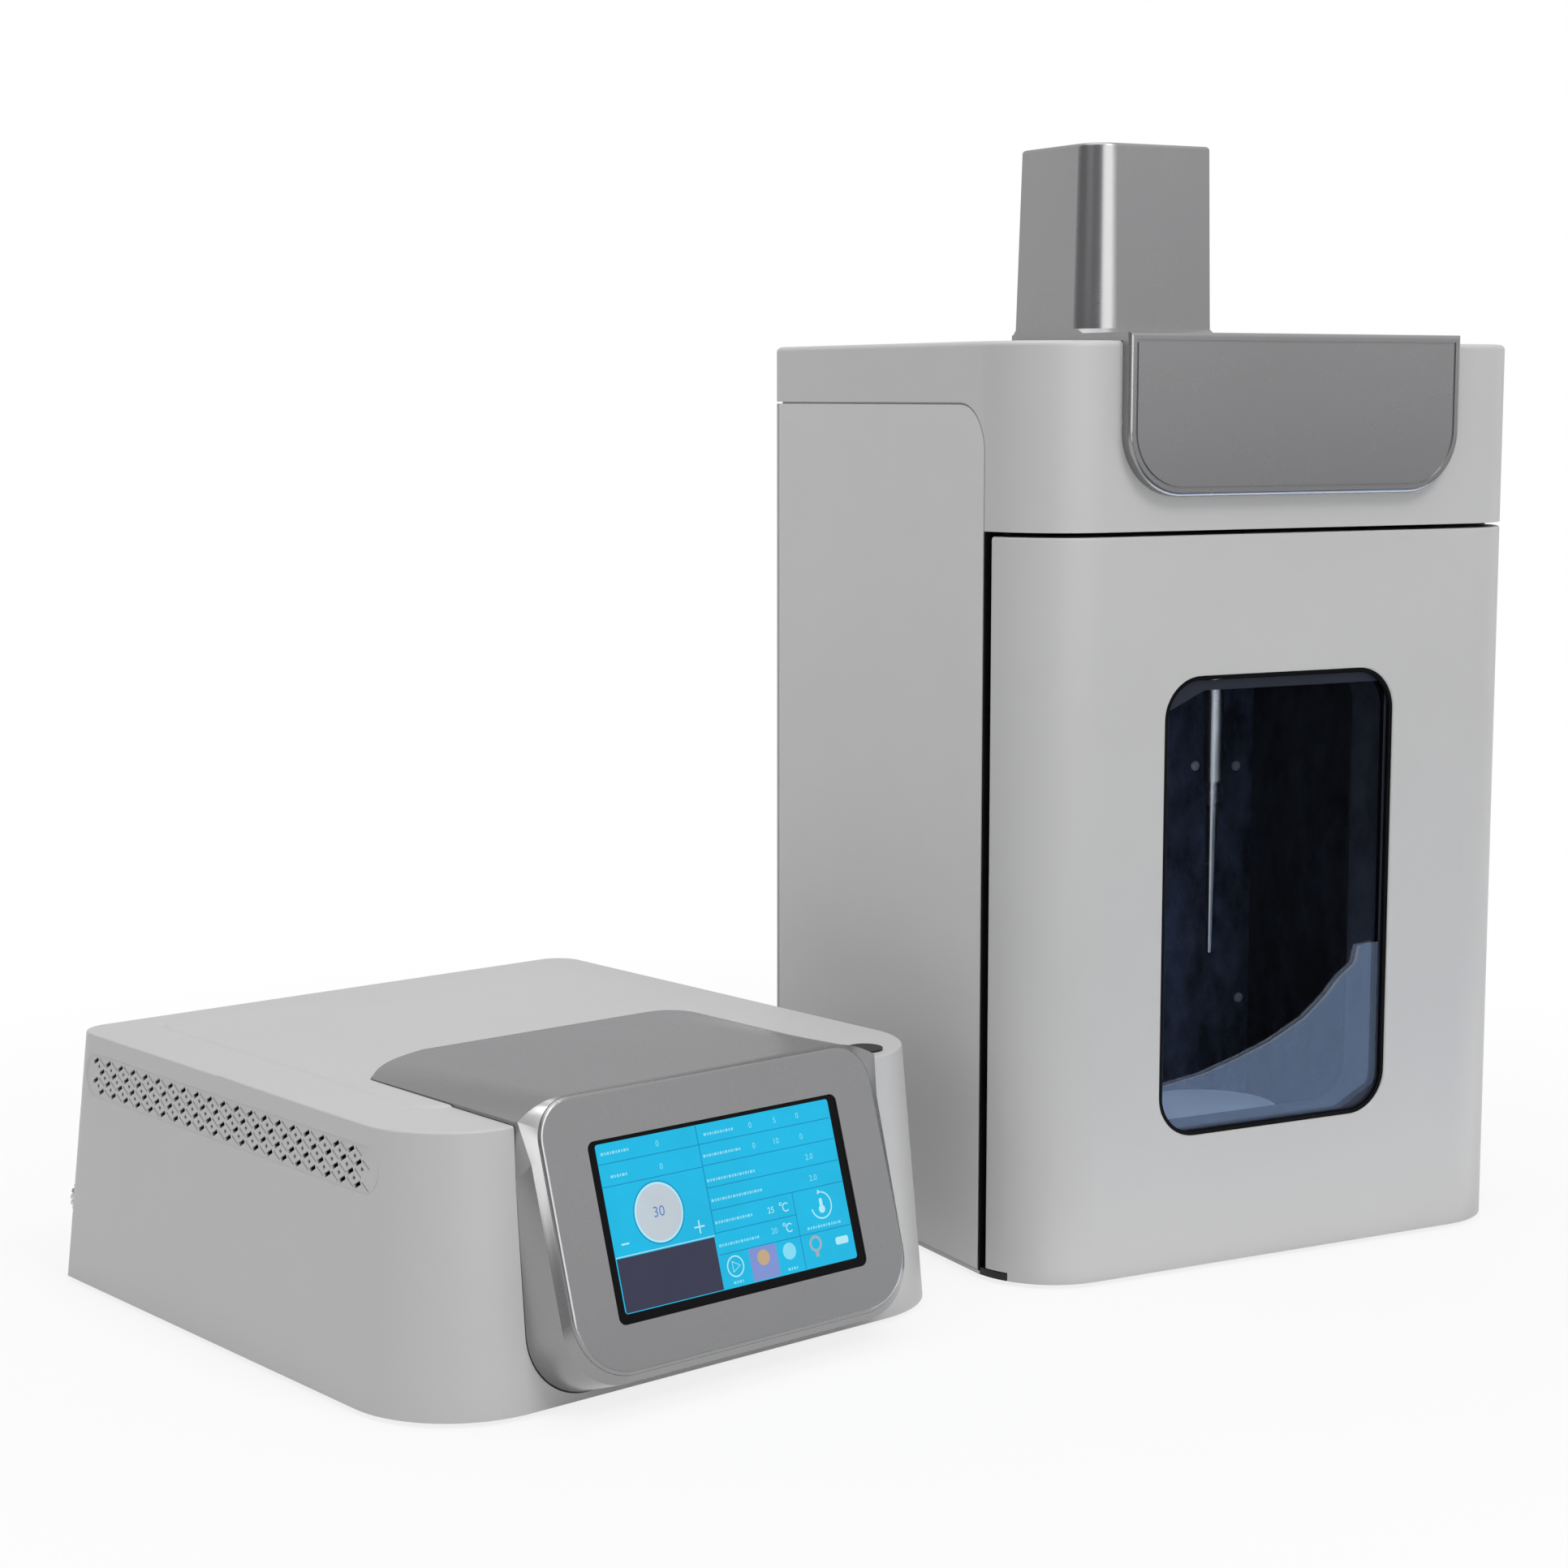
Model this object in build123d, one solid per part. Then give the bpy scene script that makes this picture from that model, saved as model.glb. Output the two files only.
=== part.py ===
from build123d import *
import os
from math import atan, cos, degrees, radians, sin

# Two-unit ultrasonic homogenizer: a sound-proof enclosure with a swinging door over a
# converter and probe, and a separate touch-screen generator standing in front of it.
# Millimetres. Each unit is modelled in its own frame (origin at its sharp front left
# bottom corner, X to the right along its front, Y to its back, Z up). At the end the
# generator is turned and moved beside the enclosure, and the pair is centred on the
# origin of the part frame.

# ---------------------------------------------------------------- shared sizes
SHEET = 2.0               # sheet panels of both units
SKIN = 3.0                # moulded walls
TOP_ROUND = 3.0           # rounding along top edges
SEAM = 1.1                # visible seam between fixed panels
FIT = 0.3                 # clearance between separate pieces
FOOT_H = 2.5              # rubber pads under both units
FOOT_D = 24.0
FOOT_INSET = 34.0

# ---------------------------------------------------------------- enclosure sizes
CAB_W = 345.0             # width over the side panels
CAB_D = 281.0             # depth over door and back panel
HOOD_H = 103.5            # top edge of the door to the top face of the hood
CORNER_R = 48.0           # vertical front corners of door and hood
DOOR_D = 40.0             # depth of the door
DOOR_TOP = 409.0          # top edge of the door
DOOR_GAP = 2.6            # gap beside and above the door
DOOR_ROUND = 1.2          # rounding along the door's upper and lower edges
DOOR_CORNER_R = 8.0       # lower corner of the door's free side
DOOR_HINGE_R = 2.5        # rear edge of the door's hinged side
FRAME_T = 1.5             # front frame of the chamber
HOOD_SIDE_H = 32.5        # height of the hood along the sides
HOOD_CURVE_R = 26.0       # curve from that edge down to the door
LIP_T = 2.0               # lip of the hood behind the top of the side panels
LIP_DOWN = 5.0
PANEL_ROUND = 0.6         # rounded outer edges of the side panels

# chamber behind the door
LINING_SIDE = 27.0        # outer side face to chamber face
LINING_BACK = 52.0        # outer back face to chamber face
CHAMBER_FLOOR = 34.0      # upper face of the floor foam
CEILING_DOWN = 21.0       # top edge of the door to the lower face of the ceiling foam
CHAMBER_R = 8.0           # corners of the chamber mouth
FOAM_T = 13.0             # acoustic foam
LINER_T = 1.5             # sheet liners of chamber and door
SEAL_W = 8.0              # width of the door seal
SEAL_AWAY = 2.0           # chamber mouth to seal
BACK_SLOTS = 9            # vent slots in the back panel
BACK_SLOT_PITCH = 12.0
BACK_SLOT_H = 5.0
BACK_SLOT_W = 120.0
BACK_SLOT_Z = 60.0

# door window
WINDOW_X0 = 89.0
WINDOW_X1 = 245.0
WINDOW_Z0 = 77.0
WINDOW_DOWN = 76.5        # top edge of the door to the top of the opening
WINDOW_R = 24.0
WINDOW_ROUND = 1.2        # rounded edge of the opening
GASKET_W = 2.2            # black rim seen round the pane
GASKET_SINK = 1.0         # rim below the door face
GASKET_GRIP = 1.2         # pane edge held in the rim
GASKET_BACK = 3.0         # rim behind the pane
PANE_T = 5.0
PANE_SINK = 3.0           # pane face below the door face

# door hinge, left
HINGE_X = 8.0
HINGE_Y = 33.0
HINGE_PIN_R = 2.0
HINGE_RUN = 0.05          # radial running clearance of the pins
HINGE_PIN_IN = 9.0        # how far each pin reaches into the door
HINGE_LEAF_T = 4.0
HINGE_LEAF_R = 8.5
HINGE_AIR = 0.6           # door clear of the leaves
MAGNET_W = 6.0
MAGNET_H = 40.0
MAGNET_T = 5.0
MAGNET_Z = 200.0
CATCH_T = 1.2

# silver cover on top
COVER_X0 = 57.6
COVER_X1 = 281.2
COVER_BACK_Y = 120.0
COVER_BACK_R = 15.0       # rear left corner of that plate
COVER_T = 4.5             # plate over the converter port
BADGE_H = 82.5            # height of the front plate up to the hood's top face
BADGE_T = 7.0             # how far the front plate stands out
BADGE_R = 35.0            # its lower corners
BADGE_ROUND = 2.2
BADGE_RIM = 4.0           # plate edge to the fine groove round its face
BADGE_GROOVE_W = 1.4
BADGE_GROOVE_T = 0.8
TOWER_W = 80.0
TOWER_FRONT_Y = 31.0
TOWER_BACK_Y = 105.5
TOWER_H = 101.0
TOWER_R = 17.0            # front left vertical edge of the tower
TOWER_RIGHT_R = 3.0
TOWER_DRAFT = 1.2         # degrees
TOWER_ROUND = 2.0
TOWER_FLARE = 2.5         # flare where the tower meets its plate

# converter, horn and probe
AXIS_X = 180.0
AXIS_Y = 84.0
CONVERTER_D = 58.0
CONVERTER_H = 107.0
CONVERTER_DOWN = 13.5     # converter below its flange
CONVERTER_RING_W = 6.0
CONVERTER_RING_SINK = 1.5
FLANGE_D = 76.0
FLANGE_T = 6.0
COLLAR_D = 76.0
COLLAR_T = 7.0
PORT_RUN = 2.0            # ceiling port round the converter
HORN_D = 38.0
HORN_L = 30.0             # thick part of the horn
HORN_STEP_R = 8.0         # fillet where the horn steps to its rod
ROD_D = 13.0
TIP_DOWN = 50.0           # chamber ceiling to the joint of the replaceable tip
TIP_STRAIGHT = 76.0       # length of the tip before it starts to narrow
TIP_L = 177.0
TIP_TAPER_D = 8.8         # upper end of the taper, stepped in from the rod
TIP_END_D = 3.6

# sample platform
PLATFORM_D = 84.0
PLATFORM_T = 5.0
PLATFORM_TOP = 69.5
POST_D = 14.0
POST_RUN = 0.08
POST_AIR = 1.0            # liner and foam clear of the post
SOCKET_D = 30.0
SOCKET_H = 38.0
KNOB_D = 22.0
KNOB_L = 12.0
KNOB_LOBES = 6
KNOB_SCREW_D = 6.0
KNOB_RUN = 0.06
KNOB_UP = 28.0            # screw above the socket's foot

# grommet in the back panel
GLAND_X = 285.0
GLAND_Z = 440.0
GLAND_D = 22.0
GLAND_LIP = 4.0
GLAND_LIP_T = 3.0
GLAND_BORE = 10.0

# ---------------------------------------------------------------- generator sizes
GEN_W = 350.0
GEN_D = 352.0
GEN_TOP = 140.0
GEN_R = 60.0              # front vertical corners at the base
SIDE_LEAN = 9.5           # how far each side leans in at the top
FRONT_LEAN = 13.0         # how far the front leans back at the top
REAR_R = 16.0             # rear corners, rounded towards the top
GEN_ROUND = 1.2           # rounding along the top edges of its cover
FIELD_SIDE = 36.0         # faint raised field on the top, from the sides of the top
FIELD_BACK = 17.5         # from the back
FIELD_FRONT = 64.0        # from the front
FIELD_R = 20.0
FIELD_RISE = 0.8
FIELD_SLOPE = 2.0
GEN_AT_X = -368.5         # its front left corner in the enclosure's frame
GEN_AT_Y = -66.0
GEN_TURN = 12.55          # degrees anticlockwise from above

# bezel and screen, on a leaning face
HOOD_MID_X = 176.3        # centre line of hood, bezel and screen
FACE_TILT = 16.96         # degrees the display leans back
FACE_MID_Y = -9.9
FACE_MID_Z = 85.7
FACE_W = 212.0
FACE_H = 136.2
FACE_R_LOW = 31.0
FACE_R_HIGH = 21.0
BEZEL_T = 5.0
BEZEL_ROUND = 2.0
SCREEN_W = 154.1          # active area of a 7 inch 16:9 display
SCREEN_H = 85.9
SCREEN_EDGE_X = 2.5       # active area to the opening in the bezel
SCREEN_EDGE_Y = 1.45
SCREEN_R = 4.0
GLASS_T = 1.8
GLASS_SINK = 0.8
LCD_T = 5.0
LCD_MARGIN = 5.0

# silver hood: outline on the cover, ridge round the bezel, ledge up to the bezel
HOOD_HALF = 116.0         # half width on the cover
HOOD_LOW = 3.7            # lower edge on the cover
HOOD_LOW_R = 34.0
HOOD_CORNER = 114.3       # half width where the sides end at the top of the cover
HOOD_CORNER_Z = 141.8
HOOD_CREST = 84.0         # half width of the level part above the shoulders
HOOD_TOP_Z = 150.4        # highest line, behind the bezel
RIDGE_TILT = 16.1         # the ridge leans a little less than the face
RIDGE_DOWN = 4.4          # its middle behind the face
RIDGE_HALF = 109.6
RIDGE_WAIST = 110.6       # half width at the height where it turns out to the corner
RIDGE_WAIST_UP = 39.0
RIDGE_CORNER_UP = 60.2
RIDGE_LOW = -71.8
RIDGE_LOW_R = 31.0
RIDGE_TOP = 69.0
LEDGE_DOWN = 1.6          # inner edge of the ledge behind the face
HOOD_AIR = 0.6            # open line between hood and cover
LEDGE_AIR = 0.2           # round the bezel
TONGUE_BACK_Y = 177.0     # back edge of the tongue on the top
TONGUE_TIP_Y = 137.0      # where its left side ends in a point
TONGUE_RISE = 1.2         # stands this far out of the top at the back
TONGUE_CROWN = 0.4        # its middle stands this much higher there
TONGUE_BEND = 58.0        # length of the curve from the point to the back edge
TONGUE_R_RIGHT = 19.0

# power button in the right front corner of the top
BUTTON_X = 301.5
BUTTON_Y = 30.5
BUTTON_RING_D = 19.0
BUTTON_RING_T = 1.2
BUTTON_NECK_D = 16.5
BUTTON_NECK_H = 12.0
BUTTON_D = 13.5
BUTTON_RUN = 0.08
BUTTON_TRAVEL = 1.5

# side vents
VENT_Y0 = 51.0
VENT_Y1 = 338.0
VENT_MID_Z = 118.0
VENT_H = 23.0
VENT_T = 1.0
VENT_SINK = 0.8           # grille face below the side
VENT_AIR = 0.05           # grille to the edge of its opening
VENT_PITCH_Y = 13.4       # lattice of diamond cells, from cell to cell
VENT_PITCH_Z = 5.35       # from row to row
VENT_ROWS = 4
VENT_SLOT_L = 5.4         # slots rising to the front
VENT_SLOT_W = 2.2
VENT_SLOT_TURN = 31.0     # degrees from the long direction
VENT_GROOVE_L = 6.8       # shallow grooves falling to the front
VENT_GROOVE_W = 1.0
VENT_GROOVE_T = 0.5
VENT_DOT = 1.9            # square hole in the middle of each cell

# fan and sockets at the back
FAN_SIZE = 80.0
FAN_T = 25.0
FAN_R = 4.0
FAN_X = 245.0
FAN_Z = 66.0
FAN_BORE_D = 75.0
FAN_HUB_D = 32.0
FAN_BLADES = 7
FAN_BLADE_T = 1.6
FAN_BLADE_ANGLE = 35.0
FAN_TIP_AIR = 1.0
FAN_SHAFT_D = 4.0
FAN_RUN = 0.05
FAN_SPIDER_T = 4.0
GUARD_T = 2.5
GUARD_RINGS = 4
OUTPUT_X = 22.0           # converter output
OUTPUT_Z = 42.0
OUTPUT_D = 28.0
OUTPUT_BORE = 16.0
OUTPUT_OUT = 9.0
OUTPUT_TEETH = 24
INLET_X = 76.0
INLET_Z = 42.0
INLET_W = 50.0
INLET_H = 31.0
INLET_SOCKET_W = 24.0
INLET_SOCKET_H = 16.5
INLET_DEPTH = 17.0
INLET_PIN_W = 4.0
INLET_PIN_T = 2.0
INLET_PIN_L = 11.0
INLET_PINS = ((-7, -2), (0, 2), (7, -2))
FUSE_W = 10.0
FUSE_H = 22.0
FUSE_D = 20.0
ROCKER_X = 126.0
ROCKER_Z = 42.0
ROCKER_W = 15.0
ROCKER_H = 21.0
ROCKER_THROW = 20.0       # degrees
ROCKER_WALL = 1.2
SOCKET_FLANGE_T = 2.5
SOCKET_R = 2.0            # corners of the rectangular flanges

# electronics inside the generator
BOARD_T = 1.6
BOARD_UP = 8.0
BOARD_W = 150.0
BOARD_D = 120.0
BOARD_AT_X = 180.0
BOARD_AT_Y = 60.0
STANDOFF_D = 6.0
STANDOFF_IN = 8.0
SUPPLY_W = 98.0
SUPPLY_D = 200.0
SUPPLY_H = 42.0
SUPPLY_AT_X = 28.0
SUPPLY_AT_Y = 70.0
TOROID_D = 92.0
TOROID_BORE = 32.0
TOROID_H = 40.0
TOROID_X = 180.0
TOROID_Y = 260.0
SINK_W = 90.0
SINK_D = 70.0
SINK_H = 50.0
SINK_BASE = 6.0
SINK_FINS = 9
SINK_FIN_T = 2.0

NODES = {}


# ---------------------------------------------------------------- helpers
def keep(name, shape):
    """Store one named piece and return it."""
    NODES[name] = shape
    return shape


def box(x0, x1, y0, y1, z0, z1):
    """Box between two corners."""
    middle = Pos((x0 + x1) / 2, (y0 + y1) / 2, (z0 + z1) / 2)
    return middle * Box(x1 - x0, y1 - y0, z1 - z0)


def rod(x, y, z0, z1, diameter):
    """Upright cylinder."""
    return Pos(x, y, (z0 + z1) / 2) * Cylinder(diameter / 2, z1 - z0)


def rod_y(x, z, y0, y1, diameter):
    """Cylinder along Y."""
    return Pos(x, (y0 + y1) / 2, z) * Rot(90, 0, 0) * Cylinder(diameter / 2, y1 - y0)


def plan(x0, x1, y0, y1, radius):
    """Footprint with both front corners rounded."""
    sheet = Pos((x0 + x1) / 2, (y0 + y1) / 2) * Rectangle(x1 - x0, y1 - y0)
    if radius <= 0:
        return sheet
    return fillet(sheet.vertices().sort_by(Axis.Y)[:2], radius)


def prism(x0, x1, y0, y1, z0, z1, radius):
    """Upright block with both front corners rounded."""
    return Pos(0, 0, z0) * extrude(plan(x0, x1, y0, y1, radius), z1 - z0)


def through(sketch, y0, y1):
    """Extrude a sketch of the front view (X right, Z up) from depth y0 to y1."""
    return Plane.XZ.offset(-y1) * extrude(sketch, y1 - y0)


def front_block(x0, x1, z0, z1, radius, y0, y1):
    """Rounded rectangle of the front view, from depth y0 to y1."""
    middle = Pos((x0 + x1) / 2, (z0 + z1) / 2)
    return through(middle * RectangleRounded(x1 - x0, z1 - z0, radius), y0, y1)


def opening(x, z, width, height, radius, y0, y1):
    """Rounded rectangle of the front view about a centre, from depth y0 to y1."""
    return front_block(x - width / 2, x + width / 2, z - height / 2, z + height / 2, radius, y0, y1)


# ================================================================ enclosure
CAB_Z0 = FOOT_H
BASE_TOP = CAB_Z0 + SHEET
DOOR_Z0 = CAB_Z0
FRAME_Y = DOOR_D + DOOR_GAP
FRAME_BACK = FRAME_Y + FRAME_T
HOOD_Z0 = DOOR_TOP + DOOR_GAP
CHAMBER_CEILING = DOOR_TOP - CEILING_DOWN
CAB_TOP = DOOR_TOP + HOOD_H
HOOD_SIDE_Z = CAB_TOP - HOOD_SIDE_H
WINDOW_Z1 = DOOR_TOP - WINDOW_DOWN
BADGE_Z0 = CAB_TOP - BADGE_H
TIP_TOP = CHAMBER_CEILING - TIP_DOWN
TIP_TAPER_Z = TIP_TOP - TIP_STRAIGHT
TIP_END_Z = TIP_TOP - TIP_L
SIDE_Y = FRAME_BACK + SEAM
CHAMBER_X0 = LINING_SIDE
CHAMBER_X1 = CAB_W - LINING_SIDE
CHAMBER_Y1 = CAB_D - LINING_BACK
PORT_D = CONVERTER_D + 2 * PORT_RUN
LINER_X0 = CHAMBER_X0 - FOAM_T - LINER_T
LINER_X1 = CHAMBER_X1 + FOAM_T + LINER_T
LINER_Y1 = CHAMBER_Y1 + FOAM_T + LINER_T
LINER_Z0 = CHAMBER_FLOOR - FOAM_T - LINER_T
LINER_Z1 = CHAMBER_CEILING + FOAM_T + LINER_T


def side_profile(shrink):
    """Side panel seen from the side (X back, Y up), with its curved front corner."""
    y0 = SIDE_Y - SEAM + shrink
    z1 = HOOD_SIDE_Z - shrink
    sheet = Pos((y0 + CAB_D) / 2, z1 / 2) * Rectangle(CAB_D - y0, z1)
    corner = sheet.vertices().sort_by(Axis.Y)[-2:].sort_by(Axis.X)[0]
    return fillet(corner, HOOD_CURVE_R - shrink)


def build_hood():
    """Upper moulding: a cap over the whole box with a front band down to the door."""
    outer = prism(0, CAB_W, 0, CAB_D, HOOD_Z0, CAB_TOP, CORNER_R)
    outer = fillet(outer.faces().sort_by(Axis.Z)[-1].edges(), TOP_ROUND)
    inner = prism(SKIN, CAB_W - SKIN, SKIN, CAB_D - SKIN, HOOD_Z0 - 1, CAB_TOP - SKIN, CORNER_R - SKIN)
    cut = Plane.YZ * extrude(side_profile(0), CAB_W)
    port = rod(AXIS_X, AXIS_Y, CAB_TOP - 2 * SKIN, CAB_TOP + 1, PORT_D)
    below_back = box(0, CAB_W, CAB_D - 2 * SKIN, CAB_D + 1, 0, HOOD_SIDE_Z)
    hood = outer - inner - cut - port - below_back
    behind = box(0, CAB_W, 0, CAB_D - SKIN, HOOD_SIDE_Z - HOOD_CURVE_R, CAB_TOP - SKIN)
    lip = Plane.YZ * extrude(side_profile(-SKIN) - side_profile(LIP_DOWN), LIP_T) & behind
    for x in (SHEET + FIT, CAB_W - SHEET - FIT - LIP_T):
        hood += Pos(x, 0, 0) * lip
    keep("enclosure_hood", hood)


def build_panels():
    """Side panels, back panel, base plate and the frame round the chamber mouth."""
    room = box(-1, CAB_W + 1, 0, CAB_D - SHEET - FIT, BASE_TOP, HOOD_SIDE_Z)
    panel = Plane.YZ * extrude(side_profile(SEAM), SHEET) & room
    panel = fillet(panel.faces().sort_by(Axis.X)[0].edges(), PANEL_ROUND)
    keep("left_side_panel", panel)
    keep("right_side_panel", mirror(panel, about=Plane.YZ.offset(CAB_W / 2)))
    back = box(0, CAB_W, CAB_D - SHEET, CAB_D, BASE_TOP, HOOD_SIDE_Z - SEAM)
    for index in range(BACK_SLOTS):
        z = BACK_SLOT_Z + index * BACK_SLOT_PITCH
        end = BACK_SLOT_H / 2 - 0.1
        back -= opening(CAB_W / 2, z, BACK_SLOT_W, BACK_SLOT_H, end, CAB_D - 2 * SHEET, CAB_D + 1)
    back -= rod_y(GLAND_X, GLAND_Z, CAB_D - 2 * SHEET, CAB_D + 1, GLAND_D)
    keep("enclosure_back_panel", back)
    keep("enclosure_base", box(0, CAB_W, FRAME_Y, CAB_D, CAB_Z0, BASE_TOP))
    plate = box(0, CAB_W, FRAME_Y, FRAME_BACK, BASE_TOP, HOOD_Z0 - FIT)
    side = SKIN + 2 * FIT
    tab = box(side, CAB_W - side, FRAME_Y, FRAME_BACK, BASE_TOP, HOOD_Z0 + 4 * HINGE_LEAF_T)
    mouth = front_block(
        CHAMBER_X0, CHAMBER_X1, CHAMBER_FLOOR, CHAMBER_CEILING, CHAMBER_R, FRAME_Y - 1, FRAME_BACK + 1)
    keep("chamber_frame", plate + tab - mouth)


def build_chamber():
    """Sheet liner, foam and seal of the chamber."""
    t = LINER_T
    outer = box(LINER_X0, LINER_X1, FRAME_BACK, LINER_Y1, LINER_Z0, LINER_Z1)
    inner = box(LINER_X0 + t, LINER_X1 - t, FRAME_BACK - 1, LINER_Y1 - t, LINER_Z0 + t, LINER_Z1 - t)
    port = rod(AXIS_X, AXIS_Y, CHAMBER_CEILING - 1, LINER_Z1 + 1, PORT_D)
    post_hole = rod(AXIS_X, AXIS_Y, LINER_Z0 - 1, LINER_Z0 + 2 * t, POST_D + 2 * POST_AIR)
    keep("chamber_liner", outer - inner - port - post_hole)
    x0 = LINER_X0 + t
    x1 = LINER_X1 - t
    y1 = LINER_Y1 - t
    z0 = CHAMBER_FLOOR
    z1 = CHAMBER_CEILING
    socket_hole = rod(AXIS_X, AXIS_Y, LINER_Z0, z0 + 1, SOCKET_D + 2 * FIT)
    keep("floor_foam", box(x0, x1, FRAME_BACK, y1, LINER_Z0 + t, z0) - socket_hole)
    keep("ceiling_foam", box(x0, x1, FRAME_BACK, y1, z1, LINER_Z1 - t) - port)
    left = box(x0, CHAMBER_X0, FRAME_BACK, y1, z0, z1)
    right = box(CHAMBER_X1, x1, FRAME_BACK, y1, z0, z1)
    keep("side_foam", Part() + [left, right])
    keep("back_foam", box(CHAMBER_X0, CHAMBER_X1, CHAMBER_Y1, y1, z0, z1))
    a = SEAL_AWAY
    b = SEAL_AWAY + SEAL_W
    ring = front_block(
        CHAMBER_X0 - b, CHAMBER_X1 + b, z0 - b, z1 + b, CHAMBER_R + b, DOOR_D + FIT, FRAME_Y)
    hole = front_block(
        CHAMBER_X0 - a, CHAMBER_X1 + a, z0 - a, z1 + a, CHAMBER_R + a, DOOR_D - 1, FRAME_Y + 1)
    keep("door_seal", ring - hole)


def build_hinge():
    """Upper bracket, lower leaf and the two pins that the door turns on."""
    x1 = HINGE_X + HINGE_LEAF_R
    top = HOOD_Z0 + 2 * HINGE_LEAF_T
    upper = box(SKIN + FIT, x1, HINGE_Y, FRAME_Y, HOOD_Z0, top)
    upper += rod(HINGE_X, HINGE_Y, HOOD_Z0, top, 2 * (HINGE_PIN_R + SKIN) - 4 * FIT)
    outline = prism(SKIN + FIT, CAB_W, SKIN + FIT, CAB_D, HOOD_Z0, CAB_TOP, CORNER_R - SKIN - FIT)
    pin_hole = rod(HINGE_X, HINGE_Y, 0, CAB_TOP, 2 * HINGE_PIN_R)
    keep("upper_hinge_bracket", (upper & outline) - pin_hole)
    z1 = DOOR_Z0 + HINGE_LEAF_T
    lower = rod(HINGE_X, HINGE_Y, DOOR_Z0, z1, 2 * HINGE_LEAF_R)
    lower += box(0, x1, HINGE_Y, FRAME_Y, DOOR_Z0, z1)
    body = prism(0, CAB_W, 0, CAB_D, DOOR_Z0, z1, CORNER_R)
    keep("lower_hinge_leaf", (lower & body) - pin_hole)
    low_pin = rod(HINGE_X, HINGE_Y, DOOR_Z0, z1 + HINGE_AIR + HINGE_PIN_IN, 2 * HINGE_PIN_R)
    top_pin = rod(HINGE_X, HINGE_Y, DOOR_TOP - HINGE_PIN_IN, top, 2 * HINGE_PIN_R)
    keep("hinge_pins", Part() + [low_pin, top_pin])


def window(y0, y1, grow=0.0):
    """Window shape through part of the door, grown by a margin."""
    return front_block(
        WINDOW_X0 - grow, WINDOW_X1 + grow, WINDOW_Z0 - grow, WINDOW_Z1 + grow, WINDOW_R + grow, y0, y1)


def door_form(inset, y1):
    """Outer form of the door moved in by an inset, back to depth y1."""
    form = prism(
        inset, CAB_W - inset, inset, 2 * CORNER_R, DOOR_Z0 + inset, DOOR_TOP - inset, CORNER_R - inset)
    return form & box(-1, CAB_W + 1, -1, y1, 0, CAB_TOP)


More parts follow.
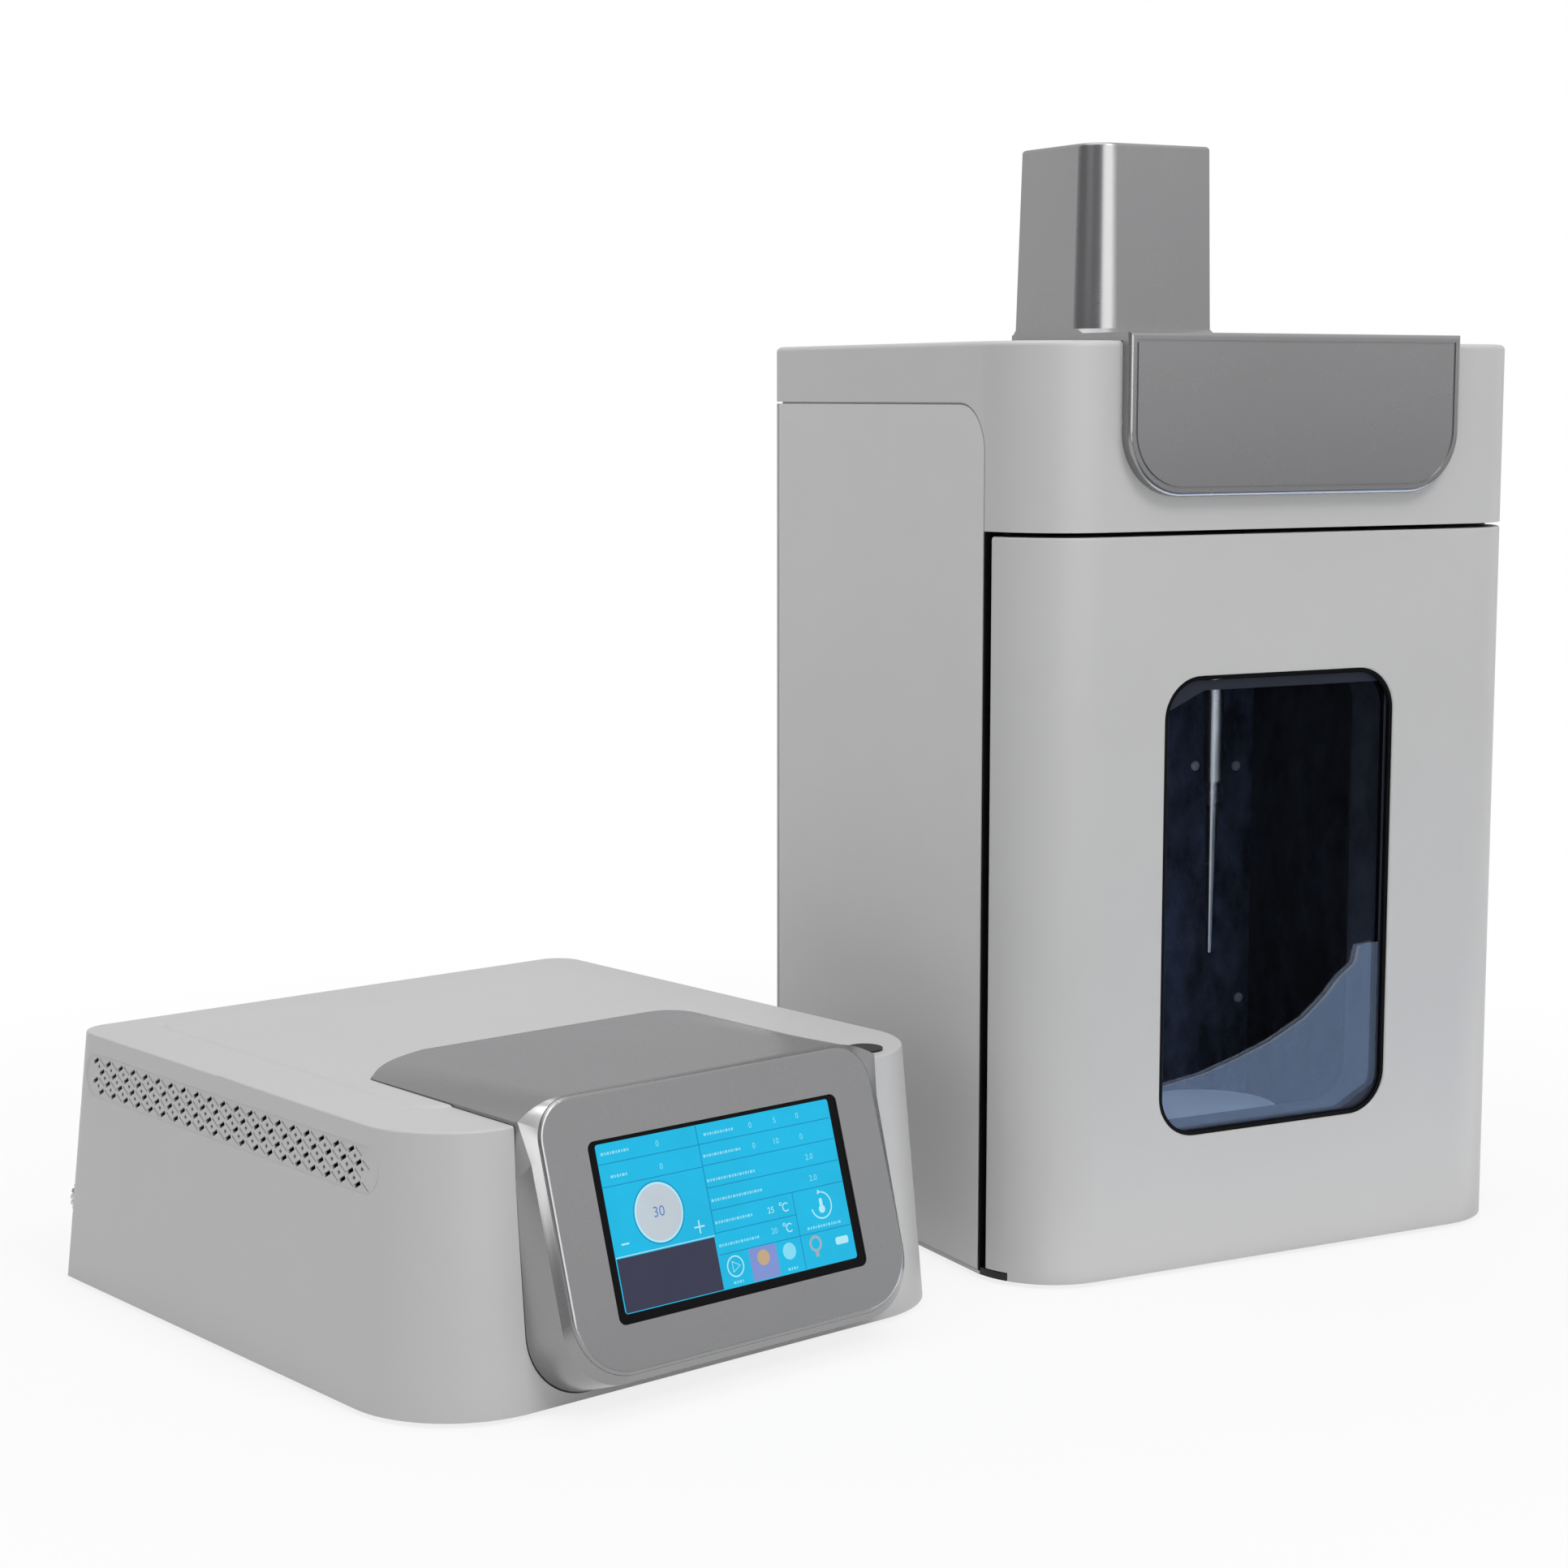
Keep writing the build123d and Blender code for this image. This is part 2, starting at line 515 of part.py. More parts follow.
def build_door():
    """Door moulding, sound-deadening core, inner sheet, window and magnet."""
    outer = door_form(0, DOOR_D)
    low_corner = box(CAB_W - DOOR_CORNER_R, CAB_W + 1, -1, DOOR_D + 1, 0, DOOR_Z0 + DOOR_CORNER_R)
    round_x = CAB_W - DOOR_CORNER_R
    round_z = DOOR_Z0 + DOOR_CORNER_R
    low_corner -= rod_y(round_x, round_z, -2, DOOR_D + 2, 2 * DOOR_CORNER_R)
    outer -= low_corner
    edges = outer.faces().sort_by(Axis.Z)[-1].edges().sort_by(Axis.Y)[:-1]
    outer = fillet(edges, DOOR_ROUND)
    turning = outer.edges().filter_by(Axis.Z).sort_by_distance((0, DOOR_D, DOOR_TOP / 2))[0]
    outer = fillet(turning, DOOR_HINGE_R)
    x1 = HINGE_X + HINGE_PIN_R + SKIN
    bosses = box(-1, x1, HINGE_Y - HINGE_PIN_R - SKIN, DOOR_D + 1, DOOR_Z0, DOOR_TOP)
    middle = box(-1, CAB_W, -1, DOOR_D + 1, DOOR_Z0 + 3 * HINGE_PIN_IN, DOOR_TOP - 2 * HINGE_PIN_IN)
    bosses -= middle
    rim_y = PANE_SINK + PANE_T + GASKET_BACK
    rim = window(0, rim_y, SKIN)
    corner_post = box(CAB_W - 2 * DOOR_CORNER_R, CAB_W, -1, DOOR_D + 1, 0, DOOR_Z0 + 2 * DOOR_CORNER_R)
    cavity = door_form(SKIN, DOOR_D + 1) - bosses - rim - corner_post
    shell = outer - cavity - window(-1, DOOR_D + 1)
    face = shell.faces().sort_by(Axis.Y)[0]
    shell = fillet(face.inner_wires()[0].edges(), WINDOW_ROUND)
    notch_z = DOOR_Z0 + HINGE_LEAF_T + HINGE_AIR
    notch_x = HINGE_X + HINGE_LEAF_R + HINGE_AIR
    notch = rod(HINGE_X, HINGE_Y, 0, notch_z, 2 * (HINGE_LEAF_R + HINGE_AIR))
    notch += box(-1, notch_x, HINGE_Y, DOOR_D + 1, 0, notch_z)
    bore_d = 2 * (HINGE_PIN_R + HINGE_RUN)
    bores = rod(HINGE_X, HINGE_Y, 0, notch_z + HINGE_PIN_IN + FIT, bore_d)
    bores += rod(HINGE_X, HINGE_Y, DOOR_TOP - HINGE_PIN_IN - FIT, DOOR_TOP + 1, bore_d)
    keep("door_shell", shell - notch - bores)

    around = bosses + corner_post + window(0, rim_y, SKIN + FIT) + window(-1, DOOR_D + 1) + notch
    sheet_y = DOOR_D - LINER_T
    core = door_form(SKIN + FIT, sheet_y) - around
    sheet = door_form(SKIN + FIT, DOOR_D) - box(-1, CAB_W + 1, -1, sheet_y, 0, CAB_TOP) - around
    magnet_x = CAB_W - (CHAMBER_X0 - SEAL_AWAY - SEAL_W) / 2
    magnet = box(magnet_x - MAGNET_W / 2, magnet_x + MAGNET_W / 2, DOOR_D - MAGNET_T, DOOR_D,
                 MAGNET_Z - MAGNET_H / 2, MAGNET_Z + MAGNET_H / 2)
    catch = box(magnet_x - MAGNET_W / 2, magnet_x + MAGNET_W / 2, FRAME_Y - CATCH_T, FRAME_Y,
                MAGNET_Z - MAGNET_H / 2, MAGNET_Z + MAGNET_H / 2)
    keep("door_core", core - magnet)
    keep("door_inner_sheet", sheet - magnet)
    keep("door_magnet", magnet)
    keep("magnet_catch", catch)
    groove = window(PANE_SINK, PANE_SINK + PANE_T, GASKET_GRIP - GASKET_W)
    gasket = window(GASKET_SINK, rim_y) - window(0, rim_y + 1, -GASKET_W) - groove
    keep("window_gasket", gasket)
    keep("window_pane", groove)


def tower_plan(inset):
    """Footprint of the tower moved in by an inset: one front corner round, the other crisp."""
    x0 = COVER_X0 + inset
    x1 = COVER_X0 + TOWER_W - inset
    sheet = plan(x0, x1, TOWER_FRONT_Y + inset, TOWER_BACK_Y - inset, 0)
    front = sheet.vertices().sort_by(Axis.Y)[:2].sort_by(Axis.X)
    sheet = fillet(front[0], TOWER_R - inset)
    right = sheet.vertices().sort_by_distance((x1, TOWER_FRONT_Y + inset, 0))[0]
    return fillet(right, max(TOWER_RIGHT_R - inset, FIT))


def build_cover():
    """Silver front plate, and the plate with its tower over the converter port."""
    top = CAB_TOP + COVER_T
    middle = Pos((COVER_X0 + COVER_X1) / 2, (BADGE_Z0 + top) / 2)
    sheet = middle * Rectangle(COVER_X1 - COVER_X0, top - BADGE_Z0)
    sheet = fillet(sheet.vertices().sort_by(Axis.Y)[:2], BADGE_R)
    badge = through(sheet, -BADGE_T, 0)
    badge = fillet(badge.faces().sort_by(Axis.Y)[0].edges(), BADGE_ROUND)
    groove = offset(sheet, -BADGE_RIM) - offset(sheet, -BADGE_RIM - BADGE_GROOVE_W)
    badge -= through(groove, -BADGE_T, BADGE_GROOVE_T - BADGE_T)
    keep("front_plate", badge)
    plate = box(COVER_X0, COVER_X1, 0, COVER_BACK_Y, CAB_TOP, top)
    rear_left = plate.edges().filter_by(Axis.Z).sort_by_distance((COVER_X0, COVER_BACK_Y, top))[0]
    plate = fillet(rear_left, COVER_BACK_R)
    tower = extrude(Pos(0, 0, top) * tower_plan(0), TOWER_H, taper=TOWER_DRAFT)
    tower = fillet(tower.faces().sort_by(Axis.Z)[-1].edges(), TOWER_ROUND)
    flare = extrude(Pos(0, 0, top) * tower_plan(-TOWER_FLARE), TOWER_FLARE, taper=45)
    tower += flare & box(COVER_X0, COVER_X1, 0, COVER_BACK_Y, CAB_TOP, top + TOWER_H)
    hollow = extrude(Pos(0, 0, CAB_TOP) * tower_plan(SKIN), COVER_T + TOWER_H - SKIN, taper=TOWER_DRAFT)
    keep("top_cover", plate + tower - hollow)


def build_converter():
    """Converter on its collar, horn and tapered probe tip."""
    seat = LINER_Z1
    collar = rod(AXIS_X, AXIS_Y, seat, seat + COLLAR_T, COLLAR_D)
    keep("converter_collar", collar - rod(AXIS_X, AXIS_Y, 0, CAB_TOP, PORT_D))
    flange_z = seat + COLLAR_T
    z0 = flange_z - CONVERTER_DOWN
    z1 = z0 + CONVERTER_H
    body = rod(AXIS_X, AXIS_Y, z0, z1, CONVERTER_D)
    body += rod(AXIS_X, AXIS_Y, flange_z, flange_z + FLANGE_T, FLANGE_D)
    body = fillet(body.faces().sort_by(Axis.Z)[-1].edges(), 2 * CONVERTER_RING_SINK)
    ring_z = flange_z + FLANGE_T + 2 * CONVERTER_RING_W
    while ring_z + CONVERTER_RING_W < z1 - CONVERTER_RING_W:
        ring = rod(AXIS_X, AXIS_Y, ring_z, ring_z + CONVERTER_RING_W, CONVERTER_D + 2)
        ring -= rod(AXIS_X, AXIS_Y, z0, z1, CONVERTER_D - 2 * CONVERTER_RING_SINK)
        body -= ring
        ring_z += 3 * CONVERTER_RING_W
    keep("converter", body)
    step = z0 - HORN_L
    thick = HORN_D / 2
    thin = ROD_D / 2
    profile = Polyline(
        (0, z0), (thick, z0), (thick, step), (thin, step), (thin, TIP_TOP), (0, TIP_TOP), (0, z0))
    flat = make_face(Plane.XZ * profile)
    corner = flat.vertices().sort_by_distance((thin, 0, step))[0]
    horn = revolve(fillet(corner, HORN_STEP_R), Axis.Z)
    keep("horn", Pos(AXIS_X, AXIS_Y, 0) * horn)
    tip = rod(0, 0, TIP_TAPER_Z, TIP_TOP, ROD_D)
    taper = Cone(TIP_END_D / 2, TIP_TAPER_D / 2, TIP_TAPER_Z - TIP_END_Z)
    tip += Pos(0, 0, (TIP_END_Z + TIP_TAPER_Z) / 2) * taper
    keep("probe_tip", Pos(AXIS_X, AXIS_Y, 0) * tip)


def build_platform():
    """Sample platform on a post, its socket and the clamp knob."""
    top = PLATFORM_TOP
    disc = rod(AXIS_X, AXIS_Y, top - PLATFORM_T, top, PLATFORM_D)
    disc = fillet(disc.edges(), PLATFORM_T / 4)
    post = rod(AXIS_X, AXIS_Y, BASE_TOP + FIT, top - PLATFORM_T, POST_D)
    keep("sample_platform", disc + post)
    foot = LINER_Z0 + LINER_T
    bore = rod(AXIS_X, AXIS_Y, 0, top, POST_D + 2 * POST_RUN)
    screw_z = foot + KNOB_UP
    screw_hole = rod_y(AXIS_X, screw_z, AXIS_Y - SOCKET_D, AXIS_Y, KNOB_SCREW_D + 2 * KNOB_RUN)
    keep("post_socket", rod(AXIS_X, AXIS_Y, foot, foot + SOCKET_H, SOCKET_D) - bore - screw_hole)
    face = AXIS_Y - SOCKET_D / 2 - FIT
    knob = rod_y(AXIS_X, screw_z, face - KNOB_L, face, KNOB_D)
    for index in range(KNOB_LOBES):
        turn = 360 / KNOB_LOBES * index
        reach = KNOB_D / 2 + KNOB_D / 12
        x = AXIS_X + reach * cos(radians(turn))
        z = screw_z + reach * sin(radians(turn))
        knob -= rod_y(x, z, face - KNOB_L - 1, face - KNOB_L / 4, KNOB_D / 4)
    screw = rod_y(AXIS_X, screw_z, face, AXIS_Y - POST_D / 2 - FIT, KNOB_SCREW_D)
    keep("clamp_knob", knob + screw)


def build_gland():
    """Rubber grommet in the back panel where the converter's lead passes."""
    y0 = CAB_D - SHEET
    lips = rod_y(GLAND_X, GLAND_Z, y0 - GLAND_LIP_T, y0, GLAND_D + 2 * GLAND_LIP)
    lips += rod_y(GLAND_X, GLAND_Z, CAB_D, CAB_D + GLAND_LIP_T, GLAND_D + 2 * GLAND_LIP)
    neck = rod_y(GLAND_X, GLAND_Z, y0, CAB_D, GLAND_D)
    bore = rod_y(GLAND_X, GLAND_Z, y0 - 2 * GLAND_LIP_T, CAB_D + 2 * GLAND_LIP_T, GLAND_BORE)
    keep("cable_grommet", lips + neck - bore)


# ================================================================ generator
GEN_Z0 = FOOT_H
GEN_BASE_TOP = GEN_Z0 + SHEET
GEN_H = GEN_TOP - GEN_Z0
REAR_Y = GEN_D - SHEET


def cover_plan(z, inset, back):
    """Footprint of the leaning cover at a height, moved in by an inset."""
    share = (z - GEN_Z0) / GEN_H
    side = SIDE_LEAN * share + inset
    front = FRONT_LEAN * share + inset
    radius = GEN_R - SIDE_LEAN * share - inset
    rear = max(1 + REAR_R * share - inset, 0.5)
    sheet = plan(side, GEN_W - side, front, back, radius)
    return Pos(0, 0, z) * fillet(sheet.vertices().sort_by(Axis.Y)[-2:], rear)


def cover_form(inset, z0, z1, back):
    """Leaning form of the generator cover."""
    return loft([cover_plan(z0, inset, back), cover_plan(z1, inset, back)])


def vent_plane(side):
    """Plane on the left (-1) or right (+1) face at the middle of the vent, facing out."""
    share = (VENT_MID_Z - GEN_Z0) / GEN_H
    lean = atan(SIDE_LEAN / GEN_H)
    x = SIDE_LEAN * share
    if side > 0:
        x = GEN_W - x
    out = (side * cos(lean), 0, sin(lean))
    return Plane(origin=(x, (VENT_Y0 + VENT_Y1) / 2, VENT_MID_Z), x_dir=(0, side, 0), z_dir=out)


def vent_outline(grow):
    """Long rounded field of a side vent."""
    height = VENT_H + 2 * grow
    return RectangleRounded(VENT_Y1 - VENT_Y0 + 2 * grow, height, height / 2 - 1)


def build_vent(name, side):
    """Side grille: diamond cells edged by slots and shallow grooves, a hole in each cell."""
    grille = extrude(vent_outline(0), VENT_T)
    cells = int((VENT_Y1 - VENT_Y0 - VENT_H / 2) / VENT_PITCH_Y)
    slot = Rot(0, 0, -side * VENT_SLOT_TURN) * Box(VENT_SLOT_L, VENT_SLOT_W, 3 * VENT_T)
    groove = Rot(0, 0, side * VENT_SLOT_TURN) * Box(VENT_GROOVE_L, VENT_GROOVE_W, 2 * VENT_GROOVE_T)
    dot = Rot(0, 0, 45) * Box(VENT_DOT, VENT_DOT, 3 * VENT_T)
    holes = []
    for row in range(VENT_ROWS):
        v = ((VENT_ROWS - 1) / 2 - row) * VENT_PITCH_Z
        for cell in range(cells):
            u = (cell - cells / 2 + 0.25 + 0.5 * (row % 2)) * VENT_PITCH_Y
            holes.append(Pos(-side * (u - VENT_PITCH_Y / 4), v, 0) * slot)
            holes.append(Pos(-side * (u + VENT_PITCH_Y / 4), v, VENT_T) * groove)
            if row < VENT_ROWS - 1:
                holes.append(Pos(-side * u, v - VENT_PITCH_Z / 2, 0) * dot)
    grille -= holes
    keep(name, vent_plane(side).offset(-VENT_SINK - VENT_T) * grille)


def top_field(grow):
    """Outline of the faint raised field on the top."""
    x0 = SIDE_LEAN + FIELD_SIDE - grow
    y0 = FIELD_FRONT - grow
    y1 = GEN_D - FIELD_BACK + grow
    middle = Pos(GEN_W / 2, (y0 + y1) / 2, GEN_TOP)
    return middle * RectangleRounded(GEN_W - 2 * x0, y1 - y0, FIELD_R + grow)


def build_generator_cover():
    """Leaning cover, base plate, rear panel and side vents."""
    outer = cover_form(0, GEN_Z0, GEN_TOP, GEN_D)
    outer = fillet(outer.faces().sort_by(Axis.Z)[-1].edges(), GEN_ROUND)
    upper_field = Pos(0, 0, FIELD_RISE) * top_field(-FIELD_SLOPE)
    outer += loft([top_field(0), upper_field])
    inner = cover_form(SKIN, GEN_Z0, GEN_TOP - SKIN, GEN_D + 1)
    hood = front_hood_form()
    cover = outer - inner - display_room() - hood
    for x in (-HOOD_AIR, HOOD_AIR):
        cover -= Pos(x, HOOD_AIR, -HOOD_AIR) * hood
    cover -= rod(BUTTON_X, BUTTON_Y, GEN_TOP - 2 * SKIN, GEN_TOP + 1, BUTTON_NECK_D)
    cover -= rod(BUTTON_X, BUTTON_Y, GEN_TOP, GEN_TOP + 1, BUTTON_RING_D + 2 * FIT)
    for side in (-1, 1):
        cover -= vent_plane(side).offset(-2 * SKIN) * extrude(vent_outline(VENT_AIR), 3 * SKIN)
        bevel = extrude(vent_outline(VENT_AIR), 2 * VENT_SINK, taper=-45)
        cover -= vent_plane(side).offset(-VENT_SINK) * bevel
    keep("generator_cover", cover)
    build_vent("left_vent", -1)
    build_vent("right_vent", 1)
    base = cover_form(SKIN + FIT, GEN_Z0, GEN_BASE_TOP, REAR_Y - FIT)
    keep("generator_base", base)
    rear = cover_form(SKIN + FIT, GEN_Z0, GEN_TOP - SKIN - FIT, GEN_D)
    rear &= box(0, GEN_W, REAR_Y, GEN_D, 0, GEN_TOP)
    rear -= rod_y(FAN_X, FAN_Z, 0, 2 * GEN_D, FAN_BORE_D)
    rear -= rod_y(OUTPUT_X, OUTPUT_Z, 0, 2 * GEN_D, OUTPUT_BORE + 2 * SOCKET_FLANGE_T)
    rear -= opening(INLET_X, INLET_Z, INLET_W - 2 * SKIN, INLET_H - 2 * SKIN, SOCKET_R, 0, 2 * GEN_D)
    rear -= opening(ROCKER_X, ROCKER_Z, ROCKER_W, ROCKER_H, SOCKET_R / 2, 0, 2 * GEN_D)
    keep("generator_rear_panel", rear)


def leaning_plane(tilt, y, z):
    """Plane across the front of the generator, leaning back by an angle."""
    normal = (0, -cos(radians(tilt)), sin(radians(tilt)))
    return Plane(origin=(HOOD_MID_X, y, z), x_dir=(1, 0, 0), z_dir=normal)


def face_plane(out):
    """Plane of the display face, moved out along its normal."""
    return leaning_plane(FACE_TILT, FACE_MID_Y, FACE_MID_Z).offset(out)


def uneven(width, height, low, high):
    """Upright rectangle with larger lower corners."""
    sheet = Rectangle(width, height)
    corners = sheet.vertices().sort_by(Axis.Y)
    return fillet(fillet(corners[:2], low).vertices().sort_by(Axis.Y)[-2:], high)


def display_room():
    """Space that the bezel and the display stack behind it take out of hood and cover."""
    width = SCREEN_W + 2 * SCREEN_EDGE_X + 2 * LCD_MARGIN
    height = SCREEN_H + 2 * SCREEN_EDGE_Y + 2 * LCD_MARGIN
    pocket = extrude(face_plane(-GEN_R) * Rectangle(width, height), GEN_R)
    face = uneven(FACE_W, FACE_H, FACE_R_LOW, FACE_R_HIGH)
    return pocket + extrude(face_plane(-BEZEL_T) * face, 2 * BEZEL_T)


def hood_section(low, half, radius, waist, corner, crest):
    """Section of the hood: rounded lower corners, sides that bend at the waist, sloping shoulders."""
    side = Line((0, low), (half - radius, low))
    side += RadiusArc((half - radius, low), (half, low + radius), -radius)
    side += Line((half, low + radius), waist)
    side += Line(waist, corner)
    side += TangentArc(crest, corner, tangent=(1, 0))
    side += Line(crest, (0, crest[1]))
    return make_face(side + mirror(side, about=Plane.YZ))


def tongue_outline():
    """Tongue from above: a point at the back left, a round corner at the back right."""
    x0 = HOOD_MID_X - HOOD_CORNER
    x1 = HOOD_MID_X + HOOD_CORNER
    y1 = TONGUE_BACK_Y
    tip = (x0, TONGUE_TIP_Y)
    bend = (x0 + TONGUE_BEND, y1)
    r = TONGUE_R_RIGHT
    outline = Polyline((x1, y1 - r), (x1, 0), (x0, 0), tip)
    outline += ThreePointArc(tip, (x0 + 0.43 * TONGUE_BEND, y1 - 0.42 * (y1 - TONGUE_TIP_Y)), bend)
    outline += Line(bend, (x1 - r, y1))
    outline += RadiusArc((x1 - r, y1), (x1, y1 - r), r)
    return make_face(outline)


def tongue_section(y, corner_z, top_z):
    """Upright section of the tongue over the top of the cover."""
    half = Line((0, GEN_TOP), (HOOD_CORNER, GEN_TOP))
    half += Line((HOOD_CORNER, GEN_TOP), (HOOD_CORNER, corner_z))
    half += TangentArc((HOOD_CREST, top_z), (HOOD_CORNER, corner_z), tangent=(1, 0))
    half += Line((HOOD_CREST, top_z), (0, top_z))
    upright = Plane(origin=(HOOD_MID_X, y, 0), x_dir=(1, 0, 0), z_dir=(0, -1, 0))
    return upright * make_face(half + mirror(half, about=Plane.YZ))


def front_hood_form():
    """Hood flaring from the bezel to the cover and running back over the top as a thin tongue."""
    lean = atan(FRONT_LEAN / GEN_H)
    seam = leaning_plane(degrees(lean), 0, GEN_Z0)
    corner = (HOOD_CORNER, (HOOD_CORNER_Z - GEN_Z0) / cos(lean))
    crest = (HOOD_CREST, (HOOD_TOP_Z - GEN_Z0) / cos(lean))
    waist = (HOOD_HALF, 0.8 * corner[1])
    base = hood_section(HOOD_LOW, HOOD_HALF, HOOD_LOW_R, waist, corner, crest)
    ridge = hood_section(RIDGE_LOW, RIDGE_HALF, RIDGE_LOW_R, (RIDGE_WAIST, RIDGE_WAIST_UP),
                         (HOOD_CORNER, RIDGE_CORNER_UP), (HOOD_CREST, RIDGE_TOP))
    ridge = leaning_plane(RIDGE_TILT, FACE_MID_Y, FACE_MID_Z).offset(-RIDGE_DOWN) * ridge
    half = FACE_W / 2 + LEDGE_AIR
    high = FACE_H / 2 + LEDGE_AIR
    turn = FACE_R_HIGH
    inner = hood_section(-high, half, FACE_R_LOW, (half, 0), (half, high - turn), (half - turn, high))
    hood = extrude(seam.offset(-2 * SKIN) * base, 2 * SKIN)
    hood += loft([seam * base, ridge])
    hood += loft([ridge, face_plane(-LEDGE_DOWN) * inner])
    front = tongue_section(FRONT_LEAN + FIT, HOOD_CORNER_Z, HOOD_TOP_Z)
    edge_z = GEN_TOP + TONGUE_RISE
    back = tongue_section(TONGUE_BACK_Y, edge_z, edge_z + TONGUE_CROWN)
    return hood + (loft([front, back]) & extrude(tongue_outline(), 2 * GEN_TOP))


def build_display():
    """Silver hood, bezel, touch glass, display panel and its board."""
    keep("front_hood", front_hood_form() - display_room())
    bezel = extrude(face_plane(-BEZEL_T) * uneven(FACE_W, FACE_H, FACE_R_LOW, FACE_R_HIGH), BEZEL_T)
    bezel = fillet(bezel.faces().sort_by(Axis.Y)[0].edges(), BEZEL_ROUND)
    glass_w = SCREEN_W + 2 * SCREEN_EDGE_X
    glass_h = SCREEN_H + 2 * SCREEN_EDGE_Y
    hole = extrude(face_plane(-2 * BEZEL_T) * RectangleRounded(glass_w, glass_h, SCREEN_R), 3 * BEZEL_T)
    keep("display_bezel", bezel - hole)
    glass_back = GLASS_SINK + GLASS_T
    pane = RectangleRounded(glass_w - FIT, glass_h - FIT, SCREEN_R)
    keep("touch_glass", extrude(face_plane(-glass_back) * pane, GLASS_T))
    lcd_back = glass_back + LCD_T
    lcd = Rectangle(SCREEN_W + SCREEN_EDGE_X, SCREEN_H + SCREEN_EDGE_Y)
    keep("lcd_panel", extrude(face_plane(-lcd_back) * lcd, LCD_T))
    board = Rectangle(glass_w, glass_h)
    keep("display_board", extrude(face_plane(-lcd_back - BOARD_T) * board, BOARD_T))


def build_button():
    """Power button in the top: fixed ring and moving cap."""
    low = GEN_TOP - BUTTON_NECK_H
    ring = rod(BUTTON_X, BUTTON_Y, low, GEN_TOP, BUTTON_NECK_D)
    ring += rod(BUTTON_X, BUTTON_Y, GEN_TOP, GEN_TOP + BUTTON_RING_T, BUTTON_RING_D)
    bore = rod(BUTTON_X, BUTTON_Y, low + SHEET, GEN_TOP + 2 * BUTTON_RING_T, BUTTON_D + 2 * BUTTON_RUN)
    keep("button_ring", ring - bore)
    cap = rod(BUTTON_X, BUTTON_Y, low + SHEET + 2 * BUTTON_TRAVEL, GEN_TOP + BUTTON_RING_T, BUTTON_D)
    keep("power_button", cap)


def build_fan():
    """Fan frame with its spider, rotor on a shaft, and the wire guard outside."""
    y0 = REAR_Y - FAN_T
    frame = opening(FAN_X, FAN_Z, FAN_SIZE, FAN_SIZE, FAN_R, y0, REAR_Y)
    frame -= rod_y(FAN_X, FAN_Z, y0 - 1, REAR_Y + 1, FAN_BORE_D)
    spider_y = y0 + FAN_SPIDER_T
    spider = rod_y(FAN_X, FAN_Z, y0, spider_y, FAN_HUB_D)
    for turn in range(0, 360, 90):
        arm = box(0, FAN_BORE_D / 2 + 1, y0, spider_y, -FAN_SPIDER_T / 2, FAN_SPIDER_T / 2)
        spider += Pos(FAN_X, 0, FAN_Z) * Rot(0, turn + 45, 0) * arm
    bearing = rod_y(FAN_X, FAN_Z, y0 - 1, REAR_Y, FAN_SHAFT_D + 2 * FAN_RUN)
    keep("fan_frame", frame + spider - bearing)
    hub_y = spider_y + 1.0
    back_y = REAR_Y - 2.0
    rotor = rod_y(FAN_X, FAN_Z, hub_y, back_y, FAN_HUB_D)
    reach = FAN_BORE_D / 2 - FAN_TIP_AIR
    middle = (hub_y + back_y) / 2
    width = (back_y - hub_y) / cos(radians(FAN_BLADE_ANGLE)) - 2 * FAN_BLADE_T
    bounds = rod_y(FAN_X, FAN_Z, hub_y, back_y, 2 * reach)
    for index in range(FAN_BLADES):
        blade = Pos(reach / 2, 0, 0) * Rot(FAN_BLADE_ANGLE, 0, 0) * Box(reach, width, FAN_BLADE_T)
        blade = Pos(FAN_X, middle, FAN_Z) * Rot(0, 360 / FAN_BLADES * index, 0) * blade
        rotor += blade & bounds
    shaft = rod_y(FAN_X, FAN_Z, y0 + FIT, hub_y, FAN_SHAFT_D)
    keep("fan_rotor", rotor + shaft)
    guard = Part()
    for index in range(GUARD_RINGS):
        outer_d = FAN_BORE_D + 2 * GUARD_T - index * FAN_BORE_D / (GUARD_RINGS + 0.5)
        ring = rod_y(FAN_X, FAN_Z, GEN_D, GEN_D + GUARD_T, outer_d)
        guard += ring - rod_y(FAN_X, FAN_Z, GEN_D - 1, GEN_D + 2 * GUARD_T, outer_d - 2 * GUARD_T)
    half = FAN_BORE_D / 2 + GUARD_T / 2
    for turn in (45, 135):
        arm = box(-half, half, GEN_D, GEN_D + GUARD_T, -GUARD_T / 2, GUARD_T / 2)
        guard += Pos(FAN_X, 0, FAN_Z) * Rot(0, turn, 0) * arm
    keep("fan_guard", guard)


